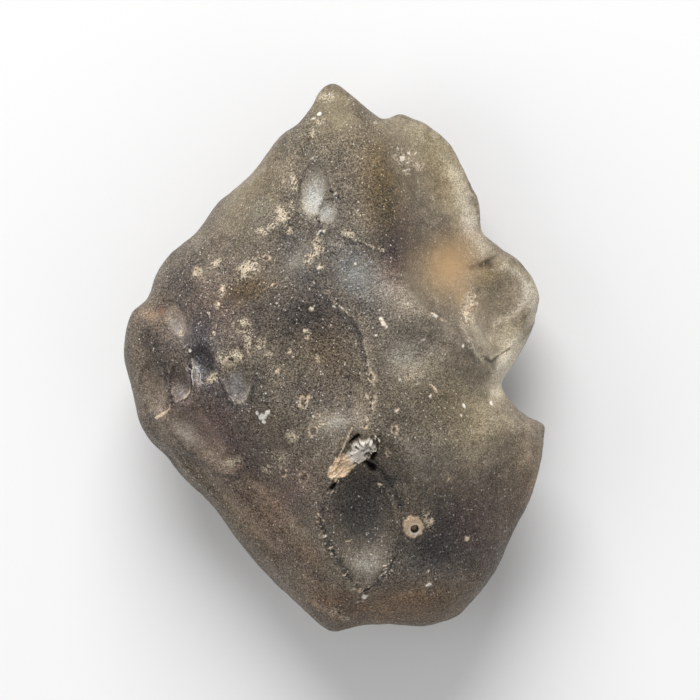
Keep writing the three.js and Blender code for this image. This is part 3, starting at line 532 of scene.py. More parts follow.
# Single grains and dabs: place, half length, half width, turn, whiteness from sand to white
DABS = [
    # peak and upper lobe
    ((-3.4, 26.2), 0.32, 0.17, 40, 1), ((-4.1, 25.7), 0.38, 0.1, 30, 0.7),
    ((6.4, 20), 0.34, 0.14, 0, 0.7), ((5.9, 21.3), 0.3, 0.22, 60, 0.7),
    ((6.6, 21.9), 0.18, 0.14, 0, 0.8), ((5.2, 21.7), 0.14, 0.1, 20, 0.6),
    ((5.5, 20.7), 0.12, 0.09, 60, 0.5), ((5.4, 22.4), 0.13, 0.09, 0, 0.7),
    ((6.9, 21), 0.16, 0.1, 40, 0.6), ((6.4, 20.8), 0.11, 0.09, 0, 0.8),
    ((4.7, 22.6), 0.1, 0.08, 0, 0.6), ((7.3, 21.8), 0.12, 0.08, 70, 0.5),
    # white splash below the bluish flute
    ((-9.8, -7.5), 0.52, 0.36, 20, 1), ((-9.2, -7), 0.4, 0.22, 50, 1),
    ((-10.4, -7.1), 0.28, 0.18, 100, 1), ((-9.6, -8), 0.26, 0.18, 0, 1),
    ((-9, -7.6), 0.1, 0.09, 0, 1),
    # middle
    ((3.7, 2.9), 0.52, 0.28, 120, 0.6), ((3.4, 3.4), 0.26, 0.2, 0, 0.8),
    ((4, 2.5), 0.2, 0.14, 60, 0.8), ((-4.3, 4.6), 0.28, 0.2, 120, 0.6),
    ((-4, 4.9), 0.2, 0.12, 30, 0.8), ((-1.9, 4.9), 0.14, 0.1, 0, 0.9),
    ((-2.2, 2.8), 0.22, 0.1, 60, 0.3), ((-4.8, 1.2), 0.26, 0.16, 90, 0.1),
    ((-5.2, 2.1), 0.14, 0.24, 20, 0.4), ((-6.7, -0.3), 0.26, 0.14, 0, 0.2),
    ((-6.4, -0.8), 0.14, 0.1, 0, 0.2), ((-3.7, -1.1), 0.32, 0.07, -40, 0.1),
    ((-8.1, -2.4), 0.24, 0.12, 0, 0.2), ((-8, -2.2), 0.1, 0.2, 0, 0.2),
    ((-3.4, 9.1), 0.32, 0.16, 30, 0.5), ((0.6, 9.7), 0.1, 0.1, 0, 0.6),
    ((2.9, 1.6), 0.12, 0.12, 0, 0.9), ((-0.9, 4.7), 0.3, 0.06, -45, 0.9),
    ((6.4, 5.2), 0.1, 0.08, 0, 0.9), ((6.8, 4.8), 0.12, 0.07, 30, 0.9),
    ((6.2, 4.6), 0.09, 0.07, 0, 0.8), ((5.6, -3.3), 0.2, 0.14, 0, 0.9),
    ((5.3, -6.7), 0.3, 0.12, 30, 0.3),
    # beside the right lobe
    ((9.5, 3.8), 0.32, 0.22, 150, 1), ((10.5, 3.3), 0.62, 0.09, 155, 0.3),
    ((9.1, 4), 0.2, 0.1, 10, 0.3), ((12.9, 3.3), 0.5, 0.1, 100, 0.3),
    ((13.9, 5.9), 0.34, 0.12, 70, 0.2), ((13.6, 5.1), 0.46, 0.13, 85, 0.2),
    ((13.2, 4.2), 0.42, 0.15, 60, 0.1), ((14.1, 5.1), 0.18, 0.09, 30, 0.3),
    ((12.9, 4.9), 0.16, 0.08, 100, 0.3), ((12.5, 0.4), 0.16, 0.24, -10, 0.8),
    ((9.3, -4.2), 0.62, 0.15, 130, 0.15), ((12.7, -6.2), 0.2, 0.3, 10, 1),
    ((12.4, -7.3), 0.12, 0.18, 20, 0.7), ((15.8, -5.8), 0.2, 0.26, 0, 0.9),
    ((8.9, -5.2), 0.12, 0.16, 0, 1), ((8.1, 1), 0.3, 0.09, 30, 0.9),
    # lower right
    ((11, -14.4), 0.22, 0.11, 120, 0.1), ((3.3, -15), 0.26, 0.09, 170, 0.1),
    ((3.9, -24), 0.32, 0.12, 30, 0.2), ((8.7, -26.1), 0.36, 0.18, 20, 0.9),
    ((8.7, -24.6), 0.26, 0.13, 60, 0.4), ((9, -19), 0.14, 0.3, 30, 0.3),
    ((13, -21), 0.32, 0.26, 30, 0.2), ((0.1, -21.3), 0.26, 0.08, 0, 0.1),
    ((1.6, -27.4), 0.36, 0.22, 20, 1),
    # left end
    ((-17.8, -0.1), 0.2, 0.2, 0, 1), ((-18.8, 1.9), 0.22, 0.12, 70, 0.2),
    ((-14.2, 6.8), 0.14, 0.3, 10, 0.2), ((-14.6, 5.1), 0.14, 0.26, 20, 0.2),
]
DAB_EDGE = (-0.05, 0.08)
DAB_HEIGHT = 0.08
# How far the ragged noise moves the edges of rings and dabs
MARK_RAGGED = 0.12

# Threads of sand: bent line, half width, whiteness
THREADS = [
    # left end: crescents in the ends of two scoops, and bluish white streaks
    ([(-20.05, -6.1), (-20.3, -6.7), (-20.8, -7.15)], 0.09, 0.1),
    ([(-20.5, -6.9), (-20.9, -7.2), (-21.6, -7.6)], 0.2, 0.15),
    ([(-18.05, -4.4), (-18.2, -4.9), (-18.6, -5.3)], 0.1, 0.3),
    ([(-17.6, -1), (-17.5, -1.9), (-17.6, -2.7), (-17.5, -3.9)], 0.06, 1),
    ([(-17.3, -1.9), (-16.7, -2.6), (-16.6, -3.6), (-16.2, -3.8)], 0.045, 1),
    # bowl: hook
    ([(-5.5, -5.2), (-5.6, -6.1), (-5, -6.6), (-4.7, -5.7), (-4.9, -5.3), (-5.6, -5.6)],
     0.055, 0.3),
]
THREAD_EDGE = (-0.03, 0.06)
THREAD_SAND = 0.9
THREAD_RAGGED = 0.06

# The pit with a thick rim of sand: the bank round it, and the hole
BANK_AT = (7.05, -19.7)
BANK_HALF = (1.22, 1.36)
BANK_EDGE = (-0.06, 0.25)
BANK_HEIGHT = 0.1
BANK_RAGGED = 0.16
HOLE_AT = (7.2, -19.85)
HOLE_HALF = (0.46, 0.52)
HOLE_WALL = (-0.05, 0.3)
HOLE_DEPTH = 0.35
HOLE_RAGGED = 0.05
# Where the hole has painted shade, where it has lost its sand, and its floor, with less painted
# shade and some sand
HOLE_PAINTED_SHADE = (-0.03, 0.08)
HOLE_CLEARED = (-0.03, 0.06)
HOLE_FLOOR = (0.16, 0.26)
HOLE_FLOOR_LESS_SHADE = 0.85
HOLE_FLOOR_SAND = 0.5
# The hole's lip: how far out it is, half width, inner edge, height, and its whiteness, which
# grows from the first of these heights above the hole's middle to the second, towards the side
# that faces the key light, as a painted highlight
LIP_OUT = 0.14
LIP_HALF_WIDTH = 0.13
LIP_EDGE = (-0.4, -0.1)
LIP_HEIGHT = 0.16
LIP_WHITENESS = (0.3, 0.9)
LIP_LIT = (0.4, -0.4)

# The crevice full of torn crust: a bent line down its middle
CRUST_LINE = [(2.3, -10.4), (1.4, -10.9), (0.2, -11.9), (-0.8, -12.9), (-1.7, -13.7)]
# Its half width along that line, from end to end
CRUST_HALF_WIDTHS = (0.7, 0.95, 0.75, 1.15, 0.95)
CRUST_HEIGHT = 0.42
CRUST_EDGE = (-0.05, 0.22)
CRUST_RAGGED = 0.4
# It is torn up to about this far along, and higher and more ragged there
TORN_LENGTH = 2.9
TORN_EDGE = (-0.5, 0.7)
TORN_LIFT = 0.3
TORN_RAGGED = 0.5
# Its strings: bumps per millimetre along and across them, and their turn. Its lumps: width
STRINGS = (0.7, 5.0)
CRUST_TURN = 40
LUMP_WIDTH = 0.5
# Its relief: level, share of the strings, how much more where torn, share of the lumps
CRUST_RELIEF = (0.55, 0.5, 0.6, 0.4)
# Its sand begins to show and shows in full at these heights of its relief, and its cavities
# get painted shade at these depths
CRUST_SAND = (-0.05, 0.3)
CRUST_CAVITIES = (-0.15, 0.1)
CAVITY_PAINTED_SHADE = 0.9
# It has its own whiteness from this cover on, and ragged places are whiter by this share
CRUST_THIN = 0.1
FRINGE_WHITE = 0.5
# The ridge beside it
CRUST_RIDGE = [(0.2, -8.7), (-0.5, -10.4), (-1.2, -12.0), (-1.6, -13.0)]
RIDGE_HALF_WIDTH = 0.17
RIDGE_EDGE = 0.12
RIDGE_RAGGED = 0.2
RIDGE_HEIGHT = 0.22
RIDGE_SAND = 0.7
RIDGE_WHITENESS = 0.2
# Gaps beside the crust, with painted shade in them: place, half length, half width, turn, depth
GAPS = [
    ((2.4, -13), 0.8, 0.34, -50, 0.9), ((2.6, -12), 0.55, 0.3, 80, 0.7),
    ((1.7, -12.5), 0.55, 0.2, -15, 0.6), ((2.8, -11.6), 0.7, 0.22, 80, 0.5),
    ((0.6, -9.9), 0.85, 0.34, 50, 0.6), ((1.7, -11.4), 0.26, 0.18, 20, 0.5),
    ((1.2, -10.6), 0.4, 0.08, 35, 0.4), ((0.9, -12), 0.34, 0.08, 40, 0.4),
    ((-2, -15.3), 0.66, 0.28, 42, 0.6), ((2.4, -2.9), 0.26, 0.18, 100, 0.3),
]
GAP_EDGE = (-0.04, 0.16)
GAP_RAGGED = 0.15

# Fine cracks, with painted shade in them and white grains along them
CRACKS = [
    [(-1.4, -14.6), (-2.6, -16.4), (-3.4, -18.4), (-3.2, -20.2), (-2.6, -21.8), (-1.8, -23.4),
     (-0.6, -25), (0.6, -26), (1.3, -26.8), (1.2, -28.4)],
    [(1.7, -0.9), (2, -1.8), (2.4, -2.9), (2.3, -3.8), (2.4, -4.9), (2.3, -6.7), (1.6, -8.6)],
    [(5, -23), (4.2, -24.6), (3.2, -25.8), (1.4, -26.8)],
    [(-2.1, 17.7), (-1.7, 17.3), (-1.2, 16.8)],
    [(-3.7, 14.8), (-3.2, 13.3), (-3.4, 11.6)],
]
CRACK_HALF_WIDTH = 0.14
CRACK_DEPTH = 0.14
CRACK_PAINTED_SHADE = 0.75
CRACK_RAGGED = 0.25
# A noise along each crack breaks it: how long its bumps are, and where it does
CRACK_PATCH = 1.6
CRACK_BREAKS = (-0.5, 0.1)
# Grains beside them: how many, radius, soft edge, how far beside, sand and height
GRAINS_PER_MM = 3.4
GRAIN_RADIUS = (0.06, 0.16)
GRAIN_EDGE = 0.06
GRAIN_SIDE = (0.12, 0.42)
GRAIN_SAND = 0.9
GRAIN_HEIGHT = 0.05


def mesh_arrays(ob):
    """Corner places in millimetres and triangles, with doubled corners joined."""
    mesh = ob.data
    places = np.empty(len(mesh.vertices) * 3)
    mesh.vertices.foreach_get("co", places)
    places = places.reshape(-1, 3) / MM
    mesh.calc_loop_triangles()
    triangles = np.empty(len(mesh.loop_triangles) * 3, np.int64)
    mesh.loop_triangles.foreach_get("vertices", triangles)
    keys = np.round(places * KEYS_PER_MM).astype(np.int64)
    _, first, inverse = np.unique(keys, axis=0, return_index=True, return_inverse=True)
    return places[first], inverse.reshape(-1)[triangles].reshape(-1, 3)


def edges_of(faces):
    """Each edge once, and for every side of every face the number of its edge."""
    sides = np.stack([faces[:, [0, 1]], faces[:, [1, 2]], faces[:, [2, 0]]], 1).reshape(-1, 2)
    edges, side_edge = np.unique(np.sort(sides, 1), axis=0, return_inverse=True)
    return edges, side_edge.reshape(-1, 3)


def sum_of_neighbours(values, edges):
    around = np.zeros_like(values)
    np.add.at(around, edges[:, 0], values[edges[:, 1]])
    np.add.at(around, edges[:, 1], values[edges[:, 0]])
    return around


def loop_pull(edges, count):
    """How many neighbours each corner has, and how much each pulls in Loop subdivision."""
    valence = np.bincount(edges.reshape(-1), minlength=count)[:, None]
    pull = (5 / 8 - (3 / 8 + np.cos(2 * np.pi / valence) / 4) ** 2) / valence
    return valence, pull


def on_smooth_skin(values, faces):
    """Where endless Loop subdivision would put the corners."""
    edges, _ = edges_of(faces)
    valence, pull = loop_pull(edges, len(values))
    reach = 1 / (valence + 3 / (8 * pull))
    return values * (1 - valence * reach) + sum_of_neighbours(values, edges) * reach


def tightened(values, faces):
    """Moves the corners out so that the smooth skin passes through where they were."""
    moved = values.copy()
    for _ in range(TIGHTEN_ROUNDS):
        moved += values - on_smooth_skin(moved, faces)
    return moved


def in_four(faces, middles):
    """The four parts of each triangle, from its corners and the middles of its sides."""
    a, b, c = faces.T
    ab, bc, ca = middles.T
    parts = ((a, ab, ca), (b, bc, ab), (c, ca, bc), (ab, bc, ca))
    return np.concatenate([np.stack(part, 1) for part in parts])


def split_smoothly(values, faces):
    """One round of Loop subdivision of a closed mesh. Further columns ride along."""
    edges, side_edge = edges_of(faces)
    opposite = np.zeros((len(edges), values.shape[1]))
    for side, across in ((0, 2), (1, 0), (2, 1)):
        np.add.at(opposite, side_edge[:, side], values[faces[:, across]])
    ends = values[edges[:, 0]] + values[edges[:, 1]]
    on_edges = ends * 3 / 8 + opposite / 8
    valence, pull = loop_pull(edges, len(values))
    corners = values * (1 - valence * pull) + sum_of_neighbours(values, edges) * pull
    return np.concatenate([corners, on_edges]), in_four(faces, side_edge + len(values))


def split_between(values, faces, wanted):
    """Splits every edge whose two ends are wanted, and bulges it as the normals at its ends
    say. Each corner has its place, its depth and its normal."""
    edges, side_edge = edges_of(faces)
    split = wanted[edges].all(1)
    number = np.cumsum(split) - 1 + len(values)
    ends = values[edges[split]]
    middles = ends.mean(1)
    normals = ends[:, :, NORMAL]
    sunk = ((middles[:, None, :3] - ends[:, :, :3]) * normals).sum(2)
    middles[:, :3] -= (sunk[:, :, None] * normals).sum(1) / 4
    middles[:, NORMAL] /= np.linalg.norm(middles[:, NORMAL], axis=1)[:, None]
    cut = split[side_edge]
    middle = number[side_edge]
    full = cut.all(1)
    pieces = [faces[~cut.any(1)], in_four(faces[full], middle[full])]
    for side in range(3):
        once = cut[:, side] & ~full
        a, b, c = (faces[once, (side + k) % 3] for k in range(3))
        ab = middle[once, side]
        pieces += [np.stack((a, ab, c), 1), np.stack((ab, b, c), 1)]
    return np.concatenate([values, middles]), np.concatenate(pieces)


def normals_of(places, faces):
    a, b, c = (places[faces[:, k]] for k in range(3))
    face_normals = np.cross(b - a, c - a)
    normals = np.zeros_like(places)
    for k in range(3):
        np.add.at(normals, faces[:, k], face_normals)
    return normals / np.linalg.norm(normals, axis=1)[:, None]


def thickness_of(places, faces, normals):
    """How far it is through the stone from each corner, in a cone of rays going in."""
    tree = BVHTree.FromPolygons(places.tolist(), faces.tolist())
    depths = np.empty(len(places))
    for i, (place, normal) in enumerate(zip(places, normals)):
        inward = Vector(-normal)
        across = inward.orthogonal().normalized()
        upward = inward.cross(across)
        start = Vector(place) + inward * RAY_START
        directions = [inward]
        for k in range(RAYS_AROUND):
            angle = k * math.tau / RAYS_AROUND
            sideways = across * math.cos(angle) + upward * math.sin(angle)
            directions.append(inward + sideways * RAY_LEAN)
        total = 0.0
        for direction in directions:
            hit = tree.ray_cast(start, direction.normalized())
            length = hit[3] if hit[0] else SHORTEST_RAY
            total += 1 / max(length, SHORTEST_RAY)
        depths[i] = len(directions) / total
    return depths


def step(values, low, high):
    t = np.clip((values - low) / (high - low), 0, 1)
    return t * t * (3 - 2 * t)


def within(bounds, share):
    return bounds[0] + (bounds[1] - bounds[0]) * share


def noise_at(places, width, seed):
    """Smooth noise from -1 to 1, with bumps of about this width."""
    shift = np.array(NOISE_SHIFT) * seed
    return np.array([noise.noise(Vector(p)) for p in (places / width + shift).tolist()])


def view_place(places):
    """Where the main view sees each place: (right, up) at the rim's height."""
    shrink = CAMERA_DISTANCE / (CAMERA_DISTANCE + RIM_HEIGHT - places[:, 2])
    return (places[:, :2] - np.array(VIEW_MIDDLE)) * shrink[:, None]


def turned(seen, at, turn):
    """Distances along and across a mark whose length is turned this much from the right."""
    angle = math.radians(turn)
    away = seen - np.array(at)
    along = away @ np.array((math.cos(angle), math.sin(angle)))
    across = away @ np.array((-math.sin(angle), math.cos(angle)))
    return along, across


def oval(seen, at, long, wide, turn):
    """0 in the middle of an oval, 1 on its edge."""
    along, across = turned(seen, at, turn)
    return np.hypot(along / long, across / wide)


def outside(seen, at, long, wide, turn):
    """How far each place is outside an oval's edge, roughly, and below 0 inside it."""
    return (oval(seen, at, long, wide, turn) - 1) * wide


def painted(spots, seen, join=np.maximum):
    """Soft oval spots."""
    paint = np.zeros(len(seen))
    for *spot, strength in spots:
        paint = join(paint, strength * np.exp(-oval(seen, *spot) ** 2))
    return paint


def tinted(skin):
    """What the tints together multiply the colour by at each corner."""
    paint = np.ones((len(skin.seen), 3))
    for tint, spots in TINTS:
        for *spot, strength in spots:
            share = strength * np.exp(-oval(skin.seen, *spot) ** 2) * skin.facing
            paint *= 1 + share[:, None] * (np.array(tint) - 1)
    return paint


def from_line(seen, line):
    """How far each place is from a bent line, and how far along the line that is."""
    nearest = np.full(len(seen), np.inf)
    along = np.zeros(len(seen))
    done = 0.0
    for a, b in zip(np.array(line[:-1]), np.array(line[1:])):
        way = b - a
        length = np.linalg.norm(way)
        t = np.clip((seen - a) @ way / length ** 2, 0, 1)
        away = np.linalg.norm(seen - a - t[:, None] * way, axis=1)
        closer = away < nearest
        nearest = np.where(closer, away, nearest)
        along = np.where(closer, done + t * length, along)
        done += length
    return nearest, along


def stroked(strokes, seen):
    paint = np.zeros(len(seen))
    for line, half_width, strength in strokes:
        away, _ = from_line(seen, line)
        paint += strength * np.exp(-(away / half_width) ** 2)
    return paint


def beside_fine_marks(seen):
    """How far each place is from the nearest mark that needs a fine mesh."""
    lines = [(CRUST_LINE, max(CRUST_HALF_WIDTHS)), (CRUST_RIDGE, RIDGE_HALF_WIDTH)]
    lines += [(line, 0) for line in CRACKS]
    lines += [(line, half_width) for line, half_width, _ in THREADS]
    lines += [(line, width / 2) for line, width, _ in TONE_AND_LIGHT_STROKES if width < FINE_STROKE]
    nearest = np.full(len(seen), np.inf)
    for line, half_width in lines:
        nearest = np.minimum(nearest, from_line(seen, line)[0] - half_width)
    for *scoop, _, shine in SCOOPS:
        if shine > CRISP_SHINE:
            edge = np.abs(outside(seen, *scoop))
            nearest = np.minimum(nearest, np.maximum(edge, SCOOP_RIM))
    ovals = [(BANK_AT, *BANK_HALF, 0)]
    ovals += RINGS + [dab[:4] for dab in DABS] + [gap[:4] for gap in GAPS]
    for mark in ovals:
        nearest = np.minimum(nearest, outside(seen, *mark))
    return nearest


class Skin:
    """The stone's skin: its mesh, and what is known at each of its corners."""

    def __init__(self, places, faces):
        depth = thickness_of(places, faces, normals_of(places, faces))
        values = tightened(np.column_stack([places, depth]), faces)
        values, faces = split_smoothly(values, faces)
        values = on_smooth_skin(values, faces)
        values = np.column_stack([values, normals_of(values[:, :3], faces)])
        values, faces = split_between(values, faces, values[:, UPWARD] > DOWNWARD)
        for margin in FINE_MARGINS:
            near = beside_fine_marks(view_place(values[:, :3])) < margin
            values, faces = split_between(values, faces, near & (values[:, UPWARD] > 0))
        self.faces = faces
        self.places = values[:, :3]
        self.depth = values[:, DEPTH]
        self.normals = values[:, NORMAL]
        self.seen = view_place(self.places)
        self.facing = step(values[:, UPWARD], *FACING)
        count = len(values)
        self.height, self.sand, self.white = np.zeros((3, count))
        self.dark, self.tone, self.haze = np.zeros((3, count))

    def lift(self, height):
        self.height += height * self.facing

    def add_sand(self, strength, whiteness=0.0):
        strength = strength * self.facing
        self.white = np.where(strength > self.sand, whiteness, self.white)
        self.sand = np.maximum(self.sand, strength)

    # Painted shade, where shade falls in rims, holes, cracks and gaps
    def add_painted_shade(self, strength):
        self.dark = np.maximum(self.dark, strength * self.facing)


def dished(away):
    """1 in the middle of a dish, 0 from its edge on."""
    return np.clip(1 - away ** 2, 0, 1) ** DISH_POWER


def add_scoops(skin, ragged):
    for at, long, wide, turn, depth, shine in SCOOPS:
        along, across = turned(skin.seen, at, turn)
        away = np.hypot(along / long, across / wide) + ragged * SCOOP_RAGGED
        slant = np.clip(1 - SCOOP_SLANT * along / long, *SCOOP_SLANTS)
        skin.lift(-SCOOP_DEEPER * depth * slant * dished(away))
        # A painted highlight at the end, which faces the key light, also spread as a painted sheen
        towards_end = np.clip((along / long + 1) / 2, 0, 1)
        painted_highlight = shine * towards_end * step(1 - away, 0, SHINE_EDGE)
        skin.tone += painted_highlight
        skin.haze = np.maximum(skin.haze, painted_highlight * HAZE_OF_SHINE)
        # Painted shade on the rim where it is steep
        rim = np.exp(-((away - 1) * wide / SCOOP_RIM) ** 2)
        steepness = np.clip(slant, *RIM_SLANTS) - RIM_SLANTS[0]
        skin.add_painted_shade(rim * steepness * RIM_PAINTED_SHADE)


def roughen(skin, random):
    """Orange-peel bumps, scoops and small pits on all sides."""
    for _ in range(SCOOP_COUNT):
        at = skin.places[random.integers(len(skin.places))]
        radius = within(SCOOP_RADIUS, random.random() ** 2)
        away = np.linalg.norm((skin.places - at) * SCOOP_SQUASH, axis=1) / radius
        elsewhere = 1 - SCOOP_FADE * skin.facing
        skin.height -= radius * SCOOP_DEPTH * dished(away) * elsewhere
    for seed, (width, height) in enumerate(PEEL, 1):
        skin.height += noise_at(skin.places, width, seed) * height
    chosen = random.choice(len(skin.places), PIT_COUNT, replace=False)
    for at in skin.places[chosen]:
        radius = within(PIT_RADIUS, random.random() ** 3)
        away = np.linalg.norm(skin.places - at, axis=1) / radius
        skin.height -= radius * PIT_DEPTH * np.clip(PIT_FLATNESS - away ** 2, 0, 1)


def add_rings(skin, ragged, crumbly):
    for ring in RINGS:
        away = outside(skin.seen, *ring) + ragged * MARK_RAGGED
        line = step(RING_LINE - np.abs(away), 0, RING_LINE) * step(crumbly, *RING_BREAKS)
        skin.add_sand(line * RING_SAND, RING_WHITENESS)
        skin.lift(line * RING_HEIGHT)
        crumbs = step(-np.abs(away), *RING_NEAR) * step(crumbly, *RING_CRUMBS)
        skin.add_sand(crumbs * RING_CRUMB_SAND, RING_WHITENESS)
        # The bubble's hole, sunk and with painted shade
        inside = step(-away, RING_LINE / 2, RING_LINE * 2)
        skin.lift(-inside * RING_HOLE)
        skin.add_painted_shade(inside * RING_SHADE)


def add_dabs(skin, ragged):
    for *dab, whiteness in DABS:
        away = outside(skin.seen, *dab) + ragged * MARK_RAGGED
        cover = step(-away, *DAB_EDGE)
        skin.add_sand(cover, whiteness)
        skin.lift(cover * DAB_HEIGHT)


def add_threads(skin, ragged):
    for line, half_width, whiteness in THREADS:
        away, _ = from_line(skin.seen + ragged[:, None] * THREAD_RAGGED, line)
        thread = step(half_width - away, *THREAD_EDGE)
        skin.add_sand(thread * THREAD_SAND, whiteness)
        skin.lift(thread * DAB_HEIGHT)


def add_ringed_pit(skin, ragged):
    bank = (1 - oval(skin.seen, BANK_AT, *BANK_HALF, 0)) * BANK_HALF[0] - ragged * BANK_RAGGED
    hole = (1 - oval(skin.seen, HOLE_AT, *HOLE_HALF, 0)) * HOLE_HALF[0] - ragged * HOLE_RAGGED
    lip = np.exp(-((hole + LIP_OUT) / LIP_HALF_WIDTH) ** 2)
    cover = step(bank, *BANK_EDGE)
    skin.lift(BANK_HEIGHT * cover + LIP_HEIGHT * lip * step(hole, *LIP_EDGE))
    skin.lift(-HOLE_DEPTH * step(hole, *HOLE_WALL))
    skin.add_sand(cover)
    # Painted highlight: the lip is whiter towards the side that faces the key light
    lit = within(LIP_WHITENESS, step(skin.seen[:, 1] - HOLE_AT[1], *LIP_LIT))
    skin.white = np.maximum(skin.white, lip * lit * (bank > 0))
    # Painted shade in the hole, less of it on its floor
    floor = step(hole, *HOLE_FLOOR)
    skin.add_painted_shade(step(hole, *HOLE_PAINTED_SHADE) * (1 - HOLE_FLOOR_LESS_SHADE * floor))
    cleared = step(hole, *HOLE_CLEARED) * (1 - HOLE_FLOOR_SAND * floor)
    skin.sand *= 1 - cleared * skin.facing


def add_crust(skin, ragged):
    """Torn, stringy crust in the crevice, with painted shade in its cavities, and a ridge and gaps
    with painted shade beside it.
    """
    away, along = from_line(skin.seen, CRUST_LINE)
    across = turned(skin.seen, CRUST_LINE[0], CRUST_TURN)[1]
    stretched = np.column_stack([along * STRINGS[0], across * STRINGS[1], along * 0])
    strings = noise_at(stretched, 1.0, seed=3)
    lumps = noise_at(skin.places, LUMP_WIDTH, seed=4)
    ends = np.linspace(0, along.max(), len(CRUST_HALF_WIDTHS))
    torn = step(TORN_LENGTH - along, *TORN_EDGE)
    fringe = ragged * (CRUST_RAGGED + TORN_RAGGED * torn)
    crust = step(np.interp(along, ends, CRUST_HALF_WIDTHS) - away - fringe, *CRUST_EDGE)
    level, strung, torn_strung, lumpy = CRUST_RELIEF
    relief = level + (strung + torn_strung * torn) * strings + lumpy * lumps
    skin.lift(crust * (CRUST_HEIGHT * relief + TORN_LIFT * torn))
    skin.add_sand(crust * step(relief, *CRUST_SAND), 1.0)
    whiteness = np.clip(torn + fringe * FRINGE_WHITE, 0, 1)
    skin.white = np.where(crust > CRUST_THIN, whiteness, skin.white)
    # Painted shade in the crust's cavities
    skin.add_painted_shade(crust * step(-relief, *CRUST_CAVITIES) * CAVITY_PAINTED_SHADE)
    add_ridge(skin, fringe)
    add_gaps(skin, fringe)


def add_ridge(skin, fringe):
    away, _ = from_line(skin.seen, CRUST_RIDGE)
    ridge = step(RIDGE_HALF_WIDTH - away + fringe * RIDGE_RAGGED, 0, RIDGE_EDGE)
    skin.lift(ridge * RIDGE_HEIGHT)
    skin.add_sand(ridge * RIDGE_SAND, RIDGE_WHITENESS)


def add_gaps(skin, fringe):
    for *spot, deep in GAPS:
        gap = step(fringe * GAP_RAGGED - outside(skin.seen, *spot), *GAP_EDGE)
        skin.lift(-gap * deep)
        skin.sand *= 1 - gap * skin.facing
        # Painted shade in the gap
        skin.add_painted_shade(gap)


def add_cracks(skin, ragged, random):
    for line in CRACKS:
        away, along = from_line(skin.seen + ragged[:, None] * CRACK_RAGGED, line)
        places = np.column_stack([along, along * 0, along * 0])
        patches = noise_at(places, CRACK_PATCH, seed=5)
        fade = step(patches, *CRACK_BREAKS)
        crack = step(CRACK_HALF_WIDTH - away, 0, CRACK_HALF_WIDTH) * fade
        skin.lift(-crack * CRACK_DEPTH)
        # Painted shade in the crack
        skin.add_painted_shade(crack * CRACK_PAINTED_SHADE)
        length = along.max()
        for _ in range(int(length * GRAINS_PER_MM)):
            spot = random.random() * length
            radius = within(GRAIN_RADIUS, random.random() ** 2)
            side = within(GRAIN_SIDE, random.random() ** 2)
            grain = step(radius - np.hypot(along - spot, away - side), 0, GRAIN_EDGE)
            skin.add_sand(grain * GRAIN_SAND, random.random())
            skin.lift(grain * GRAIN_HEIGHT)


def make_object(name, places, faces, values):
    mesh = bpy.data.meshes.new(name)
    mesh.from_pydata((places * MM).tolist(), [], faces.tolist())
    for key, paint in values.items():
        layer = mesh.attributes.new(key, "FLOAT", "POINT")
        layer.data.foreach_set("value", paint.astype(np.float32))
    mesh.shade_smooth()
    ob = bpy.data.objects.new(name, mesh)
    bpy.context.scene.collection.objects.link(ob)
    return ob


def add_marks(skin, ragged):
    random = np.random.default_rng(SEED)
    crumbly = noise_at(skin.places, CRUMBLY_WIDTH, seed=9)
    roughen(skin, random)
    add_scoops(skin, ragged)
    add_cracks(skin, ragged, random)
    add_rings(skin, ragged, crumbly)
    add_dabs(skin, ragged)
    add_threads(skin, ragged)
    add_ringed_pit(skin, ragged)
    add_crust(skin, ragged)


def make_skin(frame):
    skin = Skin(*mesh_arrays(frame["nodes"][SKIN_NODE]))
    ragged = noise_at(skin.places, RAGGED_WIDTHS[0], seed=7)
    ragged += FINER_SHARE * noise_at(skin.places, RAGGED_WIDTHS[1], seed=8)
    add_marks(skin, ragged)
    places = skin.places + skin.normals * skin.height[:, None]
    places[:, 2] = np.maximum(places[:, 2], 0)
    # Tone of the glass, with painted highlights, sheen, light and shade
    tone = skin.tone + painted(TONES_AND_LIGHT, skin.seen, np.add)
    tone += stroked(TONE_AND_LIGHT_STROKES, skin.seen + ragged[:, None] * STROKE_RAGGED)
    ob = make_object("desert_glass_skin", places, skin.faces, {
        "depth": skin.depth,
        "sand": skin.sand,
        "white": skin.white,
        "dark": skin.dark,
        "tone": tone * skin.facing,
        "glow": painted(GLOWS, skin.seen) * skin.facing,
        "crumbs": painted(CRUMBS, skin.seen) * skin.facing,
        "rust": painted(RUST, skin.seen) * skin.facing,
        "milky": painted(MILKY, skin.seen) * skin.facing,
        "haze": np.maximum(skin.haze, painted(HAZES_AND_SHEEN, skin.seen)) * skin.facing,
    })
    layer = ob.data.attributes.new("tint", "FLOAT_VECTOR", "POINT")
    layer.data.foreach_set("vector", tinted(skin).astype(np.float32).reshape(-1))
    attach(ob, "root")
    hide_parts(SKIN_NODE)
    return ob


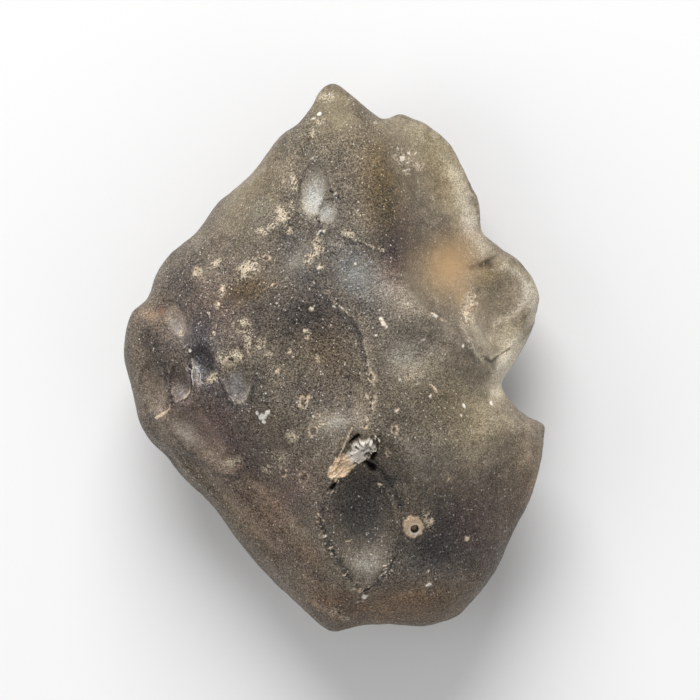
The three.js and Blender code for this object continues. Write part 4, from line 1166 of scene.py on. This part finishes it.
class Nodes:
    """A short way to write a material's nodes."""

    def __init__(self, name):
        self.material = bpy.data.materials.new(name)
        self.material.use_nodes = True
        self.tree = self.material.node_tree
        self.tree.nodes.clear()
        self.output = self.tree.nodes.new("ShaderNodeOutputMaterial")

    def put(self, socket, value):
        if isinstance(value, bpy.types.NodeSocket):
            self.tree.links.new(value, socket)
        elif value is not None:
            socket.default_value = value

    def add(self, kind, inputs=None, **settings):
        node = self.tree.nodes.new("ShaderNode" + kind)
        for key, value in settings.items():
            setattr(node, key, value)
        for key, value in (inputs or {}).items():
            self.put(node.inputs[key], value)
        return node

    def math(self, operation, a, b=None, clamp=False):
        node = self.add("Math", {0: a}, operation=operation, use_clamp=clamp)
        self.put(node.inputs[1], b)
        return node.outputs[0]

    def times(self, a, b):
        return self.math("MULTIPLY", a, b)

    def plus(self, a, b, clamp=False):
        return self.math("ADD", a, b, clamp)

    def vector(self, operation, a, inputs):
        node = self.add("VectorMath", {0: a, **inputs}, operation=operation)
        return node.outputs[0]

    def attribute(self, name, output="Fac"):
        return self.add("Attribute", attribute_name=name).outputs[output]

    def noise(self, vector, scale, detail, rough, warp):
        inputs = {"Vector": vector, "Scale": scale, "Detail": detail, "Roughness": rough,
                  "Distortion": warp}
        return self.add("TexNoise", inputs).outputs["Fac"]

    def range(self, value, low, high, to_low=0.0, to_high=1.0):
        inputs = {"Value": value, "From Min": low, "From Max": high, "To Min": to_low,
                  "To Max": to_high}
        return self.add("MapRange", inputs).outputs[0]

    def vein(self, noise, outer, inner, most=1.0):
        """Winding lines where a noise crosses its middle."""
        away = self.math("ABSOLUTE", self.math("SUBTRACT", noise, NOISE_MIDDLE))
        return self.range(away, outer, inner, 0.0, most)

    def dots(self, vector, bend, cells):
        """Dots scattered one to a cell, in some of the cells."""
        bend_scale, reach = bend
        scale, share, radius = cells
        push = self.add("TexNoise", {"Vector": vector, "Scale": bend_scale}).outputs["Color"]
        push = self.vector("SUBTRACT", push, {1: (NOISE_MIDDLE,) * 3})
        push = self.vector("SCALE", push, {"Scale": reach * 2})
        vector = self.vector("ADD", vector, {1: push})
        cell = self.add("TexVoronoi", {"Vector": vector, "Scale": scale})
        kind = self.add("SeparateColor", {0: cell.outputs["Color"]})
        chosen = self.math("LESS_THAN", kind.outputs[0], share)
        size = self.range(kind.outputs[1], 0.0, 1.0, radius * SMALLEST_DOT, radius)
        inside = self.math("SUBTRACT", size, cell.outputs["Distance"])
        return self.times(chosen, self.range(inside, *(radius * edge for edge in DOT_EDGE)))

    def ramp(self, value, stops):
        node = self.add("ValToRGB", {0: value})
        elements = node.color_ramp.elements
        while len(elements) < len(stops):
            elements.new(0.5)
        for element, (at, colour) in zip(elements, stops):
            element.position = at
            element.color = (*colour, 1)
        return node.outputs[0]

    def mix(self, factor, a, b):
        node = self.add("Mix", data_type="RGBA", clamp_factor=True)
        for key, value in (("Factor_Float", factor), ("A_Color", a), ("B_Color", b)):
            socket = next(s for s in node.inputs if s.identifier == key)
            self.put(socket, (*value, 1) if isinstance(value, tuple) else value)
        return next(s for s in node.outputs if s.identifier == "Result_Color")


def bare_glass(n, mm, noises, thin):
    """The glass without its sand: frost broken by dark pits, milky where it is thin, with painted
    glints, tints that are partly painted sheen and light, and a painted orange glow.
    """
    tone = n.plus(n.attribute("tone"), n.range(noises["clouds"], *NOISE_RANGE, *CLOUD_TONES))
    tone = n.plus(tone, n.range(noises["mottle"], *NOISE_RANGE, *MOTTLE_TONES))
    pits, frost, milk = (n.ramp(tone, stops) for stops in (PITS, FROST, MILK))
    right = n.add("SeparateXYZ", {0: mm}).outputs["X"]
    grainy = n.range(right, *FADE_FROM_TO, 1.0, FADED_GRAIN)
    worm = n.vein(noises["worms"], *WORM_WIDTH, WORM_FROST)
    worm = n.times(worm, n.range(noises["mottle"], *WORM_PATCHES))
    speck = n.times(n.range(noises["grain"], *GRAIN_RANGE, 0.0, MOST_FROST), SPECK_SHARE)
    speck = n.mix(grainy, EVEN_FROST, n.plus(speck, worm, clamp=True))
    # Haze, and a painted sheen in the hollows that face the key light, even out the frost
    speck = n.mix(n.attribute("haze"), speck, HAZE_AND_SHEEN_FROST)
    specks = n.mix(n.times(speck, MILKY_SPECKS), milk, frost)
    cloudy = n.mix(MILKY_FROST, milk, specks)
    body = n.mix(thin, n.mix(speck, pits, frost), cloudy)
    # Painted glints
    sparkle = n.times(n.dots(mm, *SPARKLES), n.times(grainy, SPARKLE_SHARE))
    body = n.mix(sparkle, body, SPARKLE)
    body = n.vector("SCALE", body, {"Scale": n.range(noises["fine"], *NOISE_RANGE, *FINE_SHADES)})
    body = n.vector("MULTIPLY", body, {1: n.attribute("tint", "Vector")})
    # Painted orange glow
    return n.mix(n.times(n.attribute("glow"), GLOW_SHARE), body, GLOW)


def crumb_cover(n, noises, here):
    """Curls and small heaps of crumbs, more of them where they are marked strongly."""
    broken = n.plus(n.range(noises["mottle"], *CURL_PATCHES), n.times(here, CURL_FILL))
    curls = n.times(n.vein(noises["curls"], *CURL_WIDTH), broken)
    curls = n.math("MULTIPLY", curls, n.range(here, *CURL_MARKS), clamp=True)
    heaps = n.range(n.plus(noises["heaps"], n.times(here, HEAP_FILL)), *HEAP_RANGE)
    patches = n.times(n.range(here, *HEAP_MARKS), n.range(noises["mottle"], *HEAP_PATCHES))
    return n.math("MAXIMUM", curls, n.times(heaps, patches))


def with_sand(n, mm, noises, body, marked, crumbs, sand):
    """The glass with painted shade in its gaps, holes, cracks and scoop rims and among its crumbs,
    and its flakes, stray grains, rust and crusts of sand.
    """
    # Painted shade in rims, holes, cracks and gaps, and among the crumbs
    shade_mask = n.math("MAXIMUM", n.times(n.attribute("dark"), PAINTED_SHADE_SHARE), n.times(marked, CRUMB_SHADE))
    body = n.mix(shade_mask, body, PAINTED_SHADE_COLOUR)
    flake = n.mix(n.range(noises["fine"], *CORE_RANGE), *FLAKES)
    body = n.mix(n.times(crumbs, SAND_COVER), body, flake)
    stray = n.range(noises["mottle"], *STRAY_PATCHES, 0.0, STRAY_SHARE)
    body = n.mix(n.times(n.dots(mm, *STRAYS), stray), body, STRAY)
    rust = n.range(noises["grain"], *RUST_RANGE, RUST_LEAST, 1.0)
    body = n.mix(n.times(n.attribute("rust"), rust), body, RUSTY)
    by_grain = n.range(noises["grain"], *CORE_RANGE)
    deposit = n.mix(n.attribute("white"), n.mix(by_grain, *TAN), n.mix(by_grain, *CHALK))
    return n.mix(n.times(sand, SAND_COVER), body, deposit)


def glass_material():
    n = Nodes("frosted_desert_glass")
    here = n.add("TexCoord").outputs["Object"]
    mm = n.vector("SCALE", here, {"Scale": 1 / MM})
    noises = {name: n.noise(mm, *settings) for name, settings in NOISES.items()}
    thin = n.range(n.attribute("depth"), *THICK_TO_THIN, 0.0, MILKY_BY_DEPTH)
    thin = n.plus(thin, n.times(n.attribute("milky"), MILKY_BY_MARK), clamp=True)
    marked = n.attribute("crumbs")
    sand = n.attribute("sand")
    crumbs = crumb_cover(n, noises, marked)
    body = bare_glass(n, mm, noises, thin)
    relief = n.plus(noises["grain"], n.times(crumbs, CRUMB_RELIEF))
    bump = n.add("Bump", {
        "Strength": n.range(thin, 0.0, 1.0, *BUMP_STRENGTH),
        "Distance": BUMP_HEIGHT,
        "Height": relief,
    })
    clear = n.range(thin, 0.0, 1.0, *CLEARNESS)
    skin = n.add("BsdfPrincipled", {
        "Base Color": with_sand(n, mm, noises, body, marked, crumbs, sand),
        "Roughness": n.range(noises["grain"], *NOISE_RANGE, *ROUGHNESS),
        "IOR": REFRACTION,
        "Specular IOR Level": SPECULAR,
        "Transmission Weight": n.times(clear, n.range(sand, 0.0, 1.0, 1.0, 0.0)),
        "Normal": bump.outputs[0],
    })
    inside = n.add("VolumeAbsorption", {"Color": ABSORBED, "Density": ABSORPTION})
    n.put(n.output.inputs["Surface"], skin.outputs[0])
    n.put(n.output.inputs["Volume"], inside.outputs[0])
    return n.material


def floor_material():
    n = Nodes("pale_floor")
    floor = n.add("BsdfPrincipled", {"Base Color": FLOOR_COLOUR, "Roughness": FLOOR_ROUGHNESS})
    n.put(n.output.inputs["Surface"], floor.outputs[0])
    return n.material


def make_floor():
    mesh = bpy.data.meshes.new("floor")
    corners = [(x * FLOOR_REACH, y * FLOOR_REACH, 0) for x, y in ((-1, -1), (1, -1), (1, 1), (-1, 1))]
    mesh.from_pydata(corners, [], [(0, 1, 2, 3)])
    floor = bpy.data.objects.new("floor", mesh)
    floor.location.z = -FLOOR_DROP
    bpy.context.scene.collection.objects.link(floor)
    mesh.materials.append(floor_material())


def add_lamp(name, place, size, power):
    lamp = bpy.data.lights.new(name, "AREA")
    lamp.shape = "DISK"
    lamp.size = size
    lamp.energy = power
    ob = bpy.data.objects.new(name, lamp)
    ob.location = place
    ob.rotation_euler = (-Vector(place)).to_track_quat("-Z", "Y").to_euler()
    bpy.context.scene.collection.objects.link(ob)


def light_the_stage():
    world = bpy.data.worlds.new("studio")
    world.use_nodes = True
    background = world.node_tree.nodes["Background"]
    background.inputs["Color"].default_value = (1.0, 1.0, 1.0, 1)
    background.inputs["Strength"].default_value = SKY_STRENGTH
    bpy.context.scene.world = world
    for lamp in LAMPS:
        add_lamp(*lamp)


def add_camera():
    camera = bpy.data.cameras.new("main")
    camera.sensor_width = SENSOR_WIDTH
    camera.lens = SENSOR_WIDTH * CAMERA_DISTANCE / VIEW_WIDTH
    camera.clip_start = CLIP_START_M
    ob = bpy.data.objects.new("main", camera)
    height = RIM_HEIGHT + CAMERA_DISTANCE
    ob.location = (VIEW_MIDDLE[0] * MM, VIEW_MIDDLE[1] * MM, height * MM)
    bpy.context.scene.collection.objects.link(ob)
    bpy.context.scene.camera = ob


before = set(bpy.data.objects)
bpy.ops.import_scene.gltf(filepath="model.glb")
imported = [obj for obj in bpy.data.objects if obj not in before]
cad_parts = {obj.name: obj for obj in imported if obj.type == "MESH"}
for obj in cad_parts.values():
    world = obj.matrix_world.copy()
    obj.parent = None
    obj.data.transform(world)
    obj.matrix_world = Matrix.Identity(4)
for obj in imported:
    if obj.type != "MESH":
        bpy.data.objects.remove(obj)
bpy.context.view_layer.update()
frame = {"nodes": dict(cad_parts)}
bpy.context.scene.view_settings.view_transform = "Standard"

add_camera()
light_the_stage()
make_floor()
stone = make_skin(frame)
stone.data.materials.append(glass_material())
